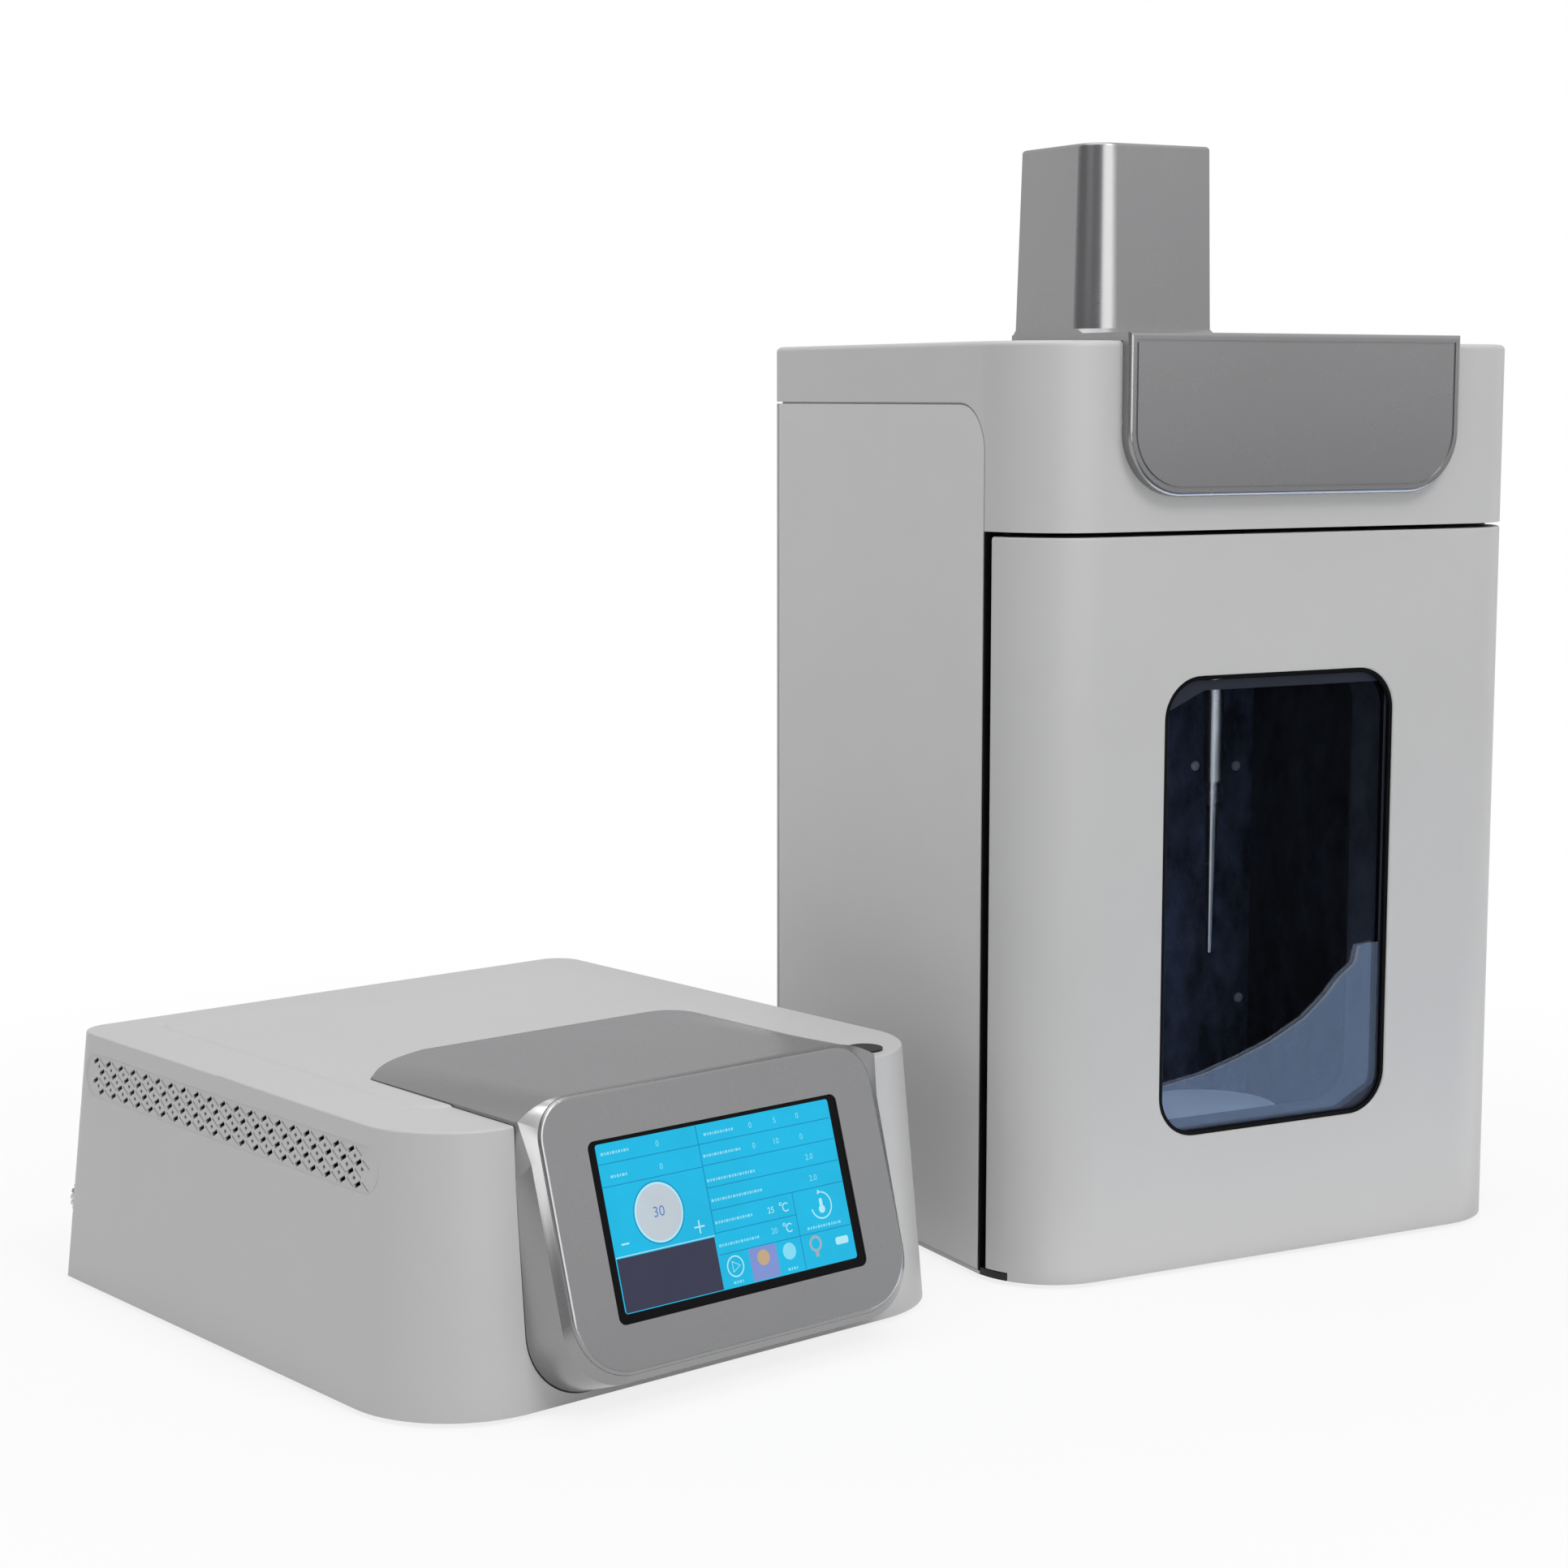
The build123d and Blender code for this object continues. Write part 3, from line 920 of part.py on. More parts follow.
def build_sockets():
    """Sockets, mains inlet with its fuse drawer, and the rocker switch."""
    t = SOCKET_FLANGE_T
    output = rod_y(OUTPUT_X, OUTPUT_Z, GEN_D, GEN_D + OUTPUT_OUT, OUTPUT_D)
    for index in range(OUTPUT_TEETH):
        turn = radians(360 / OUTPUT_TEETH * index)
        x = OUTPUT_X + OUTPUT_D / 2 * cos(turn)
        z = OUTPUT_Z + OUTPUT_D / 2 * sin(turn)
        output -= rod_y(x, z, GEN_D + t, GEN_D + OUTPUT_OUT + 1, 1.6)
    output += rod_y(OUTPUT_X, OUTPUT_Z, REAR_Y - 2 * OUTPUT_OUT, GEN_D, OUTPUT_BORE + 2 * t)
    output -= rod_y(OUTPUT_X, OUTPUT_Z, REAR_Y - OUTPUT_OUT, GEN_D + OUTPUT_OUT + 1, OUTPUT_BORE)
    keep("output_socket", output)

    floor_y = GEN_D + t - INLET_DEPTH
    flange = opening(INLET_X, INLET_Z, INLET_W, INLET_H, SOCKET_R, GEN_D, GEN_D + t)
    body_y = REAR_Y - INLET_DEPTH - 2 * SKIN
    body = opening(INLET_X, INLET_Z, INLET_W - 2 * SKIN, INLET_H - 2 * SKIN, SOCKET_R, body_y, GEN_D)
    socket_x = INLET_X + INLET_W / 2 - 2 * SKIN - INLET_SOCKET_W / 2
    socket = opening(socket_x, INLET_Z, INLET_SOCKET_W, INLET_SOCKET_H, SOCKET_R, floor_y, GEN_D + 2 * t)
    fuse_x = INLET_X - INLET_W / 2 + 2 * SKIN + FUSE_W / 2
    fuse_y = GEN_D + t - FUSE_D
    fuse_room = box(fuse_x - FUSE_W / 2 - FIT, fuse_x + FUSE_W / 2 + FIT, fuse_y - FIT, GEN_D + 2 * t,
                    INLET_Z - FUSE_H / 2 - FIT, INLET_Z + FUSE_H / 2 + FIT)
    inlet = flange + body - socket - fuse_room
    pins = []
    for dx, dz in INLET_PINS:
        pin = Box(INLET_PIN_T, INLET_PIN_L, INLET_PIN_W)
        pins.append(Pos(socket_x + dx, floor_y + INLET_PIN_L / 2, INLET_Z + dz) * pin)
    keep("power_inlet", inlet + pins)
    drawer = box(fuse_x - FUSE_W / 2, fuse_x + FUSE_W / 2, fuse_y, GEN_D + t + 1,
                 INLET_Z - FUSE_H / 2, INLET_Z + FUSE_H / 2)
    drawer -= rod_y(fuse_x, INLET_Z, fuse_y - 1, fuse_y + FUSE_D - 2 * t, FUSE_W * 0.55)
    keep("fuse_drawer", drawer)

    frame = opening(ROCKER_X, ROCKER_Z, ROCKER_W + 2 * t, ROCKER_H + 2 * t, SOCKET_R, GEN_D, GEN_D + t)
    frame += opening(ROCKER_X, ROCKER_Z, ROCKER_W, ROCKER_H, SOCKET_R / 2, REAR_Y - 2 * OUTPUT_OUT, GEN_D)
    room_w = ROCKER_W - 2 * ROCKER_WALL
    room_h = ROCKER_H - 2 * ROCKER_WALL
    frame -= box(ROCKER_X - room_w / 2, ROCKER_X + room_w / 2, REAR_Y - OUTPUT_OUT - t, GEN_D + 2 * t,
                 ROCKER_Z - room_h / 2, ROCKER_Z + room_h / 2)
    keep("rocker_frame", frame)
    lever_r = room_h / 2 - FIT
    pivot_y = GEN_D
    lever = Rot(0, 90, 0) * Cylinder(lever_r, room_w - 2 * FIT)
    far = 2 * lever_r
    for tilt in (-ROCKER_THROW / 2, ROCKER_THROW / 2):
        lever -= Rot(tilt, 0, 0) * box(-ROCKER_W, ROCKER_W, lever_r * 0.42, far, -far, far)
    lever -= box(-ROCKER_W, ROCKER_W, -far, -lever_r * 0.55, -far, far)
    keep("rocker", Pos(ROCKER_X, pivot_y, ROCKER_Z) * Rot(-ROCKER_THROW / 2, 0, 0) * lever)


def build_electronics():
    """Power supply, output transformer, driver board on standoffs and heat sink."""
    floor = GEN_BASE_TOP
    x0, y0 = BOARD_AT_X, BOARD_AT_Y
    board_z = floor + BOARD_UP
    keep("driver_board", box(x0, x0 + BOARD_W, y0, y0 + BOARD_D, board_z, board_z + BOARD_T))
    i = STANDOFF_IN
    spots = [(x, y) for x in (x0 + i, x0 + BOARD_W - i) for y in (y0 + i, y0 + BOARD_D - i)]
    keep("board_standoffs", Part() + [rod(x, y, floor, board_z, STANDOFF_D) for x, y in spots])
    x1 = SUPPLY_AT_X + SUPPLY_W
    y1 = SUPPLY_AT_Y + SUPPLY_D
    keep("power_supply", box(SUPPLY_AT_X, x1, SUPPLY_AT_Y, y1, floor, floor + SUPPLY_H))
    toroid = rod(TOROID_X, TOROID_Y, floor, floor + TOROID_H, TOROID_D)
    toroid -= rod(TOROID_X, TOROID_Y, floor - 1, floor + TOROID_H + 1, TOROID_BORE)
    keep("output_transformer", fillet(toroid.edges().filter_by(GeomType.CIRCLE), TOROID_H / 5))
    sink_x = x0 + (BOARD_W - SINK_W) / 2
    sink_y = y0 + (BOARD_D - SINK_D) / 2
    sink_z = board_z + BOARD_T
    sink = box(sink_x, sink_x + SINK_W, sink_y, sink_y + SINK_D, sink_z, sink_z + SINK_BASE)
    gap = (SINK_W - SINK_FIN_T) / (SINK_FINS - 1)
    for index in range(SINK_FINS):
        x = sink_x + index * gap
        sink += box(x, x + SINK_FIN_T, sink_y, sink_y + SINK_D, sink_z, sink_z + SINK_H)
    keep("heat_sink", sink)


def build_feet():
    """Rubber pads under both units, in the frame of each."""
    i = FOOT_INSET
    under_cab = [(x, y) for x in (i, CAB_W - i) for y in (FRAME_Y + i / 2, CAB_D - i)]
    keep("enclosure_feet", Part() + [rod(x, y, 0, CAB_Z0, FOOT_D) for x, y in under_cab])
    under_gen = [(x, y) for x in (i, GEN_W - i) for y in (GEN_R, GEN_D - i)]
    keep("generator_feet", Part() + [rod(x, y, 0, GEN_Z0, FOOT_D) for x, y in under_gen])


ENCLOSURE = (build_hood, build_panels, build_chamber, build_hinge, build_door, build_cover,
             build_converter, build_platform, build_gland)
GENERATOR = (build_generator_cover, build_display, build_button, build_fan, build_sockets,
             build_electronics)

for build in ENCLOSURE + GENERATOR + (build_feet,):
    build()

GENERATOR_NODES = [
    "generator_cover", "left_vent", "right_vent", "generator_base", "generator_rear_panel",
    "front_hood", "display_bezel", "touch_glass", "lcd_panel", "display_board", "button_ring",
    "power_button", "fan_frame", "fan_rotor", "fan_guard", "output_socket",
    "power_inlet", "fuse_drawer", "rocker_frame", "rocker", "driver_board", "board_standoffs",
    "power_supply", "output_transformer", "heat_sink", "generator_feet"]
beside = Pos(GEN_AT_X, GEN_AT_Y, 0) * Rot(0, 0, GEN_TURN)
for name in GENERATOR_NODES:
    NODES[name] = beside * NODES[name]

boxes = [shape.bounding_box() for shape in NODES.values()]
middle_x = (min(b.min.X for b in boxes) + max(b.max.X for b in boxes)) / 2
middle_y = (min(b.min.Y for b in boxes) + max(b.max.Y for b in boxes)) / 2
os.makedirs("parts", exist_ok=True)
for name, shape in NODES.items():
    export_step(Pos(-middle_x, -middle_y, 0) * shape, f"parts/{name}.step")
print("pair centred on", round(middle_x, 4), round(middle_y, 4), "pieces", len(NODES))
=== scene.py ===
from math import cos, pi, radians, sin

import bmesh
import bpy
from mathutils import Matrix, Vector


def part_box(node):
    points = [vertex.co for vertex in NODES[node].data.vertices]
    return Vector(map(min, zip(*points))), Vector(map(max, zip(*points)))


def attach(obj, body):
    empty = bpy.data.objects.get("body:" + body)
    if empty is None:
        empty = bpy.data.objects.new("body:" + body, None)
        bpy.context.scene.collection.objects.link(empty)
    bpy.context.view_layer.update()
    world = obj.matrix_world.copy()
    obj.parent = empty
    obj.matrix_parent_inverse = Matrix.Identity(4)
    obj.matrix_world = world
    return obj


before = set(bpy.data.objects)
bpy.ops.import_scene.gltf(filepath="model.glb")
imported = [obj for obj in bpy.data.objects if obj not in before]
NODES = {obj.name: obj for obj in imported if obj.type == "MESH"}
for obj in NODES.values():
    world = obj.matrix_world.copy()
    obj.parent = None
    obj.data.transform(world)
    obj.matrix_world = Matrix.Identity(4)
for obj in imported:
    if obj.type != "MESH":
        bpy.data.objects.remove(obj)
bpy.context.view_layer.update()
MM = 0.001

# ---------------------------------------------------------------- frames of the two units
CABINET_DEPTH = 0.281
CABINET = Vector((
    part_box("enclosure_base")[0].x,
    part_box("enclosure_back_panel")[1].y - CABINET_DEPTH,
    0))
GEN_OFFSET = Vector((-0.3685, -0.066, 0))
GEN_TURN = radians(12.55)
CAB = Matrix.Translation(CABINET)
GEN = Matrix.Translation(CABINET + GEN_OFFSET) @ Matrix.Rotation(GEN_TURN, 4, "Z")
FACE_CENTRE = Vector((176.3, -9.9, 85.7)) * MM
FACE_TILT = radians(16.96)
# display face: x to the right, y up the leaning face, z out of it
FACE = GEN @ Matrix.Translation(FACE_CENTRE) @ Matrix.Rotation(pi / 2 - FACE_TILT, 4, "X")

# ---------------------------------------------------------------- camera
CAMERA_PLACE = Vector((-856.2, -1334.7, 484.0)) * MM
CAMERA_HEADING = (0.4703, 0.8825)
PITCH = 0.1282
FOCAL_LENGTH = 69.29
SENSOR_WIDTH = 36

camera = bpy.data.objects.new("camera", bpy.data.cameras.new("camera"))
bpy.context.scene.collection.objects.link(camera)
camera.data.lens = FOCAL_LENGTH
camera.data.sensor_width = SENSOR_WIDTH
camera.location = CAB @ CAMERA_PLACE
looking = Vector((CAMERA_HEADING[0] * cos(PITCH), CAMERA_HEADING[1] * cos(PITCH), -sin(PITCH)))
camera.rotation_euler = looking.to_track_quat("-Z", "Y").to_euler()
bpy.context.scene.camera = camera


# ---------------------------------------------------------------- materials
class Shade:
    """A procedural material on the Principled shader, in object coordinates (metres)."""

    def __init__(self, name, **sockets):
        self.material = bpy.data.materials.new(name)
        self.material.use_nodes = True
        self.tree = self.material.node_tree
        self.bsdf = self.tree.nodes["Principled BSDF"]
        self.coords = self.tree.nodes.new("ShaderNodeTexCoord").outputs["Object"]
        for socket, value in sockets.items():
            self.bsdf.inputs[socket.replace("_", " ")].default_value = value

    def node(self, kind, **values):
        made = self.tree.nodes.new("ShaderNode" + kind)
        for key, value in values.items():
            if key in made.inputs:
                made.inputs[key].default_value = value
            else:
                setattr(made, key, value)
        return made

    def link(self, start, end):
        self.tree.links.new(start, end)

    def noise(self, scale, detail=2.0, rough=0.5, stretch=None):
        """Noise over the object; a stretch draws it out along the small axes."""
        coords = self.coords
        if stretch:
            mapping = self.node("Mapping")
            mapping.inputs["Scale"].default_value = stretch
            self.link(coords, mapping.inputs["Vector"])
            coords = mapping.outputs["Vector"]
        made = self.node("TexNoise", Scale=scale, Detail=detail, Roughness=rough)
        self.link(coords, made.inputs["Vector"])
        return made.outputs["Fac"]

    def ramp(self, factor, stops):
        made = self.node("ValToRGB")
        elements = made.color_ramp.elements
        while len(elements) < len(stops):
            elements.new(0.5)
        for element, (place, colour) in zip(elements, stops):
            element.position = place
            element.color = (*colour, 1)
        self.link(factor, made.inputs["Fac"])
        return made.outputs["Color"]

    def colour(self, colour, spread, scale):
        """Base colour that drifts a little over the surface."""
        low = [c * (1 - spread) for c in colour]
        high = [min(c * (1 + spread), 1) for c in colour]
        mixed = self.ramp(self.noise(scale, 3.0), [(0.3, low), (0.7, high)])
        self.link(mixed, self.bsdf.inputs["Base Color"])
        return self

    def roughness(self, low, high, scale):
        spread = self.node("MapRange")
        spread.inputs["To Min"].default_value = low
        spread.inputs["To Max"].default_value = high
        self.link(self.noise(scale), spread.inputs["Value"])
        self.link(spread.outputs["Result"], self.bsdf.inputs["Roughness"])
        return self

    def bump(self, height, strength, distance):
        made = self.node("Bump", Strength=strength, Distance=distance)
        previous = self.bsdf.inputs["Normal"].links
        if previous:
            self.link(previous[0].from_socket, made.inputs["Normal"])
        self.link(height, made.inputs["Height"])
        self.link(made.outputs["Normal"], self.bsdf.inputs["Normal"])
        return self

    def grain(self, scale, strength, distance, stretch=None):
        return self.bump(self.noise(scale, 2.0, 0.5, stretch), strength, distance)


def lacquer():
    shade = Shade("housing_lacquer", Specular_IOR_Level=0.35)
    shade.colour((0.595, 0.595, 0.595), 0.014, 9.0)
    shade.roughness(0.36, 0.46, 30.0)
    return shade.grain(900.0, 0.12, 0.0001).material


def side_lacquer(name, colour):
    shade = Shade(name, Specular_IOR_Level=0.35)
    shade.colour(colour, 0.014, 9.0)
    shade.roughness(0.42, 0.55, 40.0)
    return shade.grain(1100.0, 0.22, 0.00012).material


def silver():
    shade = Shade("silver_metallic_lacquer", Metallic=0.8)
    shade.colour((0.30, 0.30, 0.303), 0.02, 8.0)
    return shade.roughness(0.25, 0.29, 50.0).material


def foam(name, low, high, scale=26.0):
    """Open-cell foam: its dimples, and a random mottle in two tones."""
    shade = Shade(name, Specular_IOR_Level=0.2)
    mottle = shade.noise(scale, 6.0, 0.62, (1, 1, 0.6))
    shade.link(shade.ramp(mottle, [(0.38, low), (0.62, high)]), shade.bsdf.inputs["Base Color"])
    shade.roughness(0.75, 0.95, 60.0)
    cells = shade.node("TexVoronoi", Scale=42.0, feature="SMOOTH_F1")
    shade.link(shade.coords, cells.inputs["Vector"])
    shade.bump(cells.outputs["Distance"], 0.8, 0.006)
    return shade.grain(700.0, 0.5, 0.0005).material


def rubber():
    shade = Shade("black_rubber", Specular_IOR_Level=0.04)
    shade.colour((0.0045, 0.0045, 0.0052), 0.25, 40.0)
    shade.roughness(0.5, 0.68, 60.0)
    return shade.grain(800.0, 0.2, 0.0002).material


def satin(name, colour):
    """Smooth satin finish with little shine."""
    shade = Shade(name, Specular_IOR_Level=0.25)
    shade.colour(colour, 0.05, 30.0)
    return shade.roughness(0.4, 0.5, 60.0).material


def black_plastic():
    shade = Shade("black_moulded_plastic", Specular_IOR_Level=0.3)
    shade.colour((0.016, 0.016, 0.018), 0.2, 40.0)
    shade.roughness(0.38, 0.5, 80.0)
    return shade.grain(1500.0, 0.25, 0.00015).material


def brushed(name, colour, low, high, stretch):
    shade = Shade(name, Metallic=1.0)
    shade.colour(colour, 0.05, 20.0)
    shade.roughness(low, high, 40.0)
    return shade.grain(300.0, 0.25, 0.0001, stretch).material


def window_glass():
    shade = Shade("tinted_window", Transmission_Weight=1.0, IOR=1.5)
    shade.colour((0.80, 0.84, 0.90), 0.03, 6.0)
    return shade.roughness(0.0, 0.02, 12.0).material


def touch_glass():
    shade = Shade("black_touch_glass", Specular_IOR_Level=0.06)
    shade.colour((0.006, 0.006, 0.007), 0.2, 15.0)
    return shade.roughness(0.12, 0.2, 30.0).material


def circuit():
    shade = Shade("solder_mask", Coat_Weight=0.4)
    shade.colour((0.01, 0.09, 0.03), 0.3, 120.0)
    return shade.roughness(0.3, 0.45, 200.0).material


def winding():
    shade = Shade("taped_winding")
    shade.colour((0.30, 0.16, 0.03), 0.2, 90.0)
    shade.roughness(0.35, 0.5, 90.0)
    return shade.grain(260.0, 0.4, 0.0004).material


LACQUER = lacquer()
PANEL = side_lacquer("panel_powder_coat", (0.545, 0.546, 0.55))
# The side panels' coat is lighter than the housing lacquer: its lighter tone is painted light on the sides.
SIDE_PANEL_PAINTED_LIGHT = side_lacquer("side_panel_coat_painted_light", (0.675, 0.675, 0.675))
SILVER = silver()
FOAM = foam("black_foam", (0.034, 0.038, 0.054), (0.07, 0.079, 0.112))
BACK_FOAM = foam("blue_grey_foam", (0.034, 0.046, 0.082), (0.125, 0.165, 0.29), 34.0)
BORDER = satin("blue_black_print", (0.013, 0.017, 0.031))
# Screw heads in a pale bluish non-metal paint: a painted highlight in place of their metal shine.
SCREW_PAINTED_HIGHLIGHT = satin("screw_painted_highlight", (0.8, 0.84, 0.9))
# Pale blue-grey diffuse on the steel sample platform: painted light on its top, seen through the window.
PLATFORM_PAINTED_LIGHT = satin("platform_painted_light", (0.62, 0.72, 0.88))
RUBBER = rubber()
BLACK = black_plastic()
STEEL = brushed("satin_steel", (0.55, 0.55, 0.55), 0.22, 0.34, (1, 1, 8))
TITANIUM = brushed("turned_titanium", (0.78, 0.77, 0.76), 0.2, 0.32, (1, 1, 14))
SHEET_STEEL = brushed("zinc_sheet", (0.42, 0.43, 0.45), 0.35, 0.5, (1, 6, 1))
ALUMINIUM = brushed("extruded_aluminium", (0.6, 0.6, 0.61), 0.3, 0.4, (1, 10, 1))
WINDOW = window_glass()
TOUCH = touch_glass()
CIRCUIT = circuit()
WINDING = winding()

FINISH = {
    LACQUER: "enclosure_hood door_shell generator_cover left_vent right_vent",
    SIDE_PANEL_PAINTED_LIGHT: "left_side_panel right_side_panel",
    PANEL: "enclosure_back_panel enclosure_base generator_base generator_rear_panel",
    SILVER: "top_cover front_plate front_hood display_bezel",
    FOAM: "floor_foam ceiling_foam side_foam door_core",
    BACK_FOAM: "back_foam",
    # chamber_frame is black here: painted shade in the door gap, over a light coated frame.
    RUBBER: "enclosure_feet generator_feet window_gasket door_seal cable_grommet chamber_frame hinge_pins",
    BLACK: "door_inner_sheet converter_collar converter clamp_knob button_ring power_button fan_frame "
           "fan_rotor power_inlet fuse_drawer rocker_frame rocker lower_hinge_leaf upper_hinge_bracket",
    STEEL: "post_socket fan_guard output_socket board_standoffs door_magnet",
    PLATFORM_PAINTED_LIGHT: "sample_platform",
    TITANIUM: "horn probe_tip",
    SHEET_STEEL: "chamber_liner magnet_catch power_supply",
    ALUMINIUM: "heat_sink",
    WINDOW: "window_pane",
    TOUCH: "touch_glass lcd_panel",
    CIRCUIT: "display_board driver_board",
    WINDING: "output_transformer",
}
for material, names in FINISH.items():
    for name in names.split():
        mesh = NODES[name].data
        mesh.materials.clear()
        mesh.materials.append(material)

SMOOTH_BELOW = radians(32)
for node in NODES.values():
    node.data.shade_smooth()
    node.data.set_sharp_from_angle(angle=SMOOTH_BELOW)


# ---------------------------------------------------------------- piece helpers
def add_piece(name, mesh, material, body):
    """Links a finished mesh as a piece of the object."""
    mesh.materials.append(material)
    piece = bpy.data.objects.new(name, mesh)
    bpy.context.scene.collection.objects.link(piece)
    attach(piece, body)
    return piece


def circle(u, v, radius, start=0.0, end=360.0, steps=48):
    """Points along an arc, in degrees anticlockwise."""
    turn = radians(end - start)
    return [(u + radius * cos(radians(start) + turn * i / steps),
             v + radius * sin(radians(start) + turn * i / steps)) for i in range(steps + 1)]


class Flat:
    """Thin raised marks on a plane, gathered into one mesh. Sizes in millimetres."""

    def __init__(self, matrix, low, high):
        self.matrix = matrix
        self.low = low
        self.high = high
        self.bm = bmesh.new()

    def fill(self, points):
        """A filled outline, anticlockwise."""
        top = [self.bm.verts.new((u, v, self.high)) for u, v in points]
        foot = [self.bm.verts.new((u, v, self.low)) for u, v in points]
        self.bm.faces.new(top)
        for i in range(len(points)):
            j = (i + 1) % len(points)
            self.bm.faces.new((foot[i], foot[j], top[j], top[i]))
        return self

    def rect(self, u0, u1, v0, v1):
        return self.fill([(u0, v0), (u1, v0), (u1, v1), (u0, v1)])

    def rounded(self, u0, u1, v0, v1, r):
        points = []
        corners = ((u1 - r, v0 + r), (u1 - r, v1 - r), (u0 + r, v1 - r), (u0 + r, v0 + r))
        for (u, v), start in zip(corners, (-90, 0, 90, 180)):
            points += circle(u, v, r, start, start + 90, 6)
        return self.fill(points)

    def disc(self, u, v, radius):
        return self.fill(circle(u, v, radius)[:-1])

    def stroke(self, points, width, closed=False):
        """A line of even width through points."""
        count = len(points)
        left, right = [], []
        for i in range(count):
            before = points[(i - 1) % count] if closed or i else points[i]
            after = points[(i + 1) % count] if closed or i < count - 1 else points[i]
            run = Vector((after[0] - before[0], after[1] - before[1])).normalized()
            side = Vector((-run.y, run.x)) * width / 2
            left.append(Vector(points[i]) + side)
            right.append(Vector(points[i]) - side)
        pairs = count if closed else count - 1
        for i in range(pairs):
            j = (i + 1) % count
            self.fill([right[i], right[j], left[j], left[i]])
        return self

    def ring(self, u, v, radius, width, start=0.0, end=360.0):
        closed = end - start >= 360
        points = circle(u, v, radius, start, end)
        return self.stroke(points[:-1] if closed else points, width, closed)

    def text(self, words, u, v, size):
        """Plain figures, centred."""
        font = bpy.data.curves.new("figures", "FONT")
        font.body = words
        font.size = size
        font.align_x = "CENTER"
        font.align_y = "CENTER"
        font.resolution_u = 3
        holder = bpy.data.objects.new("figures", font)
        mesh = bpy.data.meshes.new_from_object(holder)
        mesh.transform(Matrix.Translation((u, v, self.high)))
        self.bm.from_mesh(mesh)
        bpy.data.objects.remove(holder)
        bpy.data.meshes.remove(mesh)
        return self

    def piece(self, name, material, slot, body):
        bmesh.ops.transform(self.bm, matrix=self.matrix @ Matrix.Scale(MM, 4), verts=self.bm.verts)
        mesh = bpy.data.meshes.new(name)
        self.bm.to_mesh(mesh)
        self.bm.free()
        return add_piece(name, mesh, material, body)


# ---------------------------------------------------------------- window and chamber details
# millimetres in the enclosure's frame
PANE_Y = 3.0
BORDER_INNER = [
    (92.8, 88.0), (100.0, 80.2), (216.0, 80.2), (240.6, 93.0), (240.6, 324.3), (116.3, 324.3), (92.8, 313.8)]
BORDER_OUTER = [
    (91.8, 88.0), (91.8, 79.4), (242.2, 79.4), (242.2, 89.0), (242.2, 329.8), (91.8, 329.8), (91.8, 315.4)]
PRINT_T = 0.06
CHAMBER_BACK_Y = 229.0
WALL_SCREWS = [(272.8, 249.7), (304.7, 247.8), (310.2, 96.0)]
SCREW_HEAD_R = 3.2
pane_plane = CAB @ Matrix.Translation(Vector((0, PANE_Y, 0)) * MM) @ Matrix.Rotation(pi / 2, 4, "X")


def window_border():
    """Black printed border on the pane, wider at the top, with cut corners."""
    border = Flat(pane_plane, 0.0, PRINT_T)
    for i in range(len(BORDER_INNER)):
        j = (i + 1) % len(BORDER_INNER)
        border.fill([BORDER_OUTER[i], BORDER_OUTER[j], BORDER_INNER[j], BORDER_INNER[i]])
    border.piece("window_border_print", BORDER, "black_rubber", "door")


def screw_head(name, x, z, radius, material):
    """Low domed screw head with a hexagon socket, on the chamber's back wall."""
    sides = 24
    height = 0.55
    socket = 0.42
    dome = [(0.0, 1.0), (0.35, 0.97), (0.7, 0.82), (0.9, 0.58)]
    angles = [2 * pi * i / sides for i in range(sides)]
    bm = bmesh.new()

    def loop(reaches, up):
        """One round of points; reaches and up are shares of the radius."""
        return [bm.verts.new((radius * reach * cos(a), radius * reach * sin(a), radius * height * up))
                for a, reach in zip(angles, reaches)]

    loops = [loop([share] * sides, up) for up, share in dome]
    hexagon = [socket / cos((a + pi / 6) % (pi / 3) - pi / 6) for a in angles]
    loops += [loop(hexagon, up) for up in (0.9, 0.3)]
    for near, far in zip(loops, loops[1:]):
        for i in range(sides):
            j = (i + 1) % sides
            bm.faces.new((near[i], near[j], far[j], far[i]))
    bm.faces.new(loops[-1])
    place = CAB @ Matrix.Translation(Vector((x, CHAMBER_BACK_Y, z)) * MM) @ Matrix.Rotation(pi / 2, 4, "X")
    bmesh.ops.transform(bm, matrix=place @ Matrix.Scale(MM, 4), verts=bm.verts)
    mesh = bpy.data.meshes.new(name)
    bm.to_mesh(mesh)
    bm.free()
    return add_piece(name, mesh, material, "root")


window_border()
for number, (x, z) in enumerate(WALL_SCREWS, 1):
    screw_head(f"wall_screw_{number}", x, z, SCREW_HEAD_R, SCREW_PAINTED_HIGHLIGHT)


# ---------------------------------------------------------------- display picture
GLOW_SPREAD = 0.04
UNLIT_SHARE = 0.04


def lit(name, colour):
    """Part of the lit display: glows in its own colour, and is nearly black unlit."""
    shade = Shade(name, Specular_IOR_Level=0.2, Roughness=0.25, Emission_Strength=1.0)
    low = [c * (1 - GLOW_SPREAD) for c in colour]
    high = [c * (1 + GLOW_SPREAD) for c in colour]
    for socket, share in (("Emission Color", 1), ("Base Color", UNLIT_SHARE)):
        stops = [(0.3, [c * share for c in low]), (0.7, [c * share for c in high])]
        shade.link(shade.ramp(shade.noise(40.0, 3.0), stops), shade.bsdf.inputs[socket])
    return shade.material


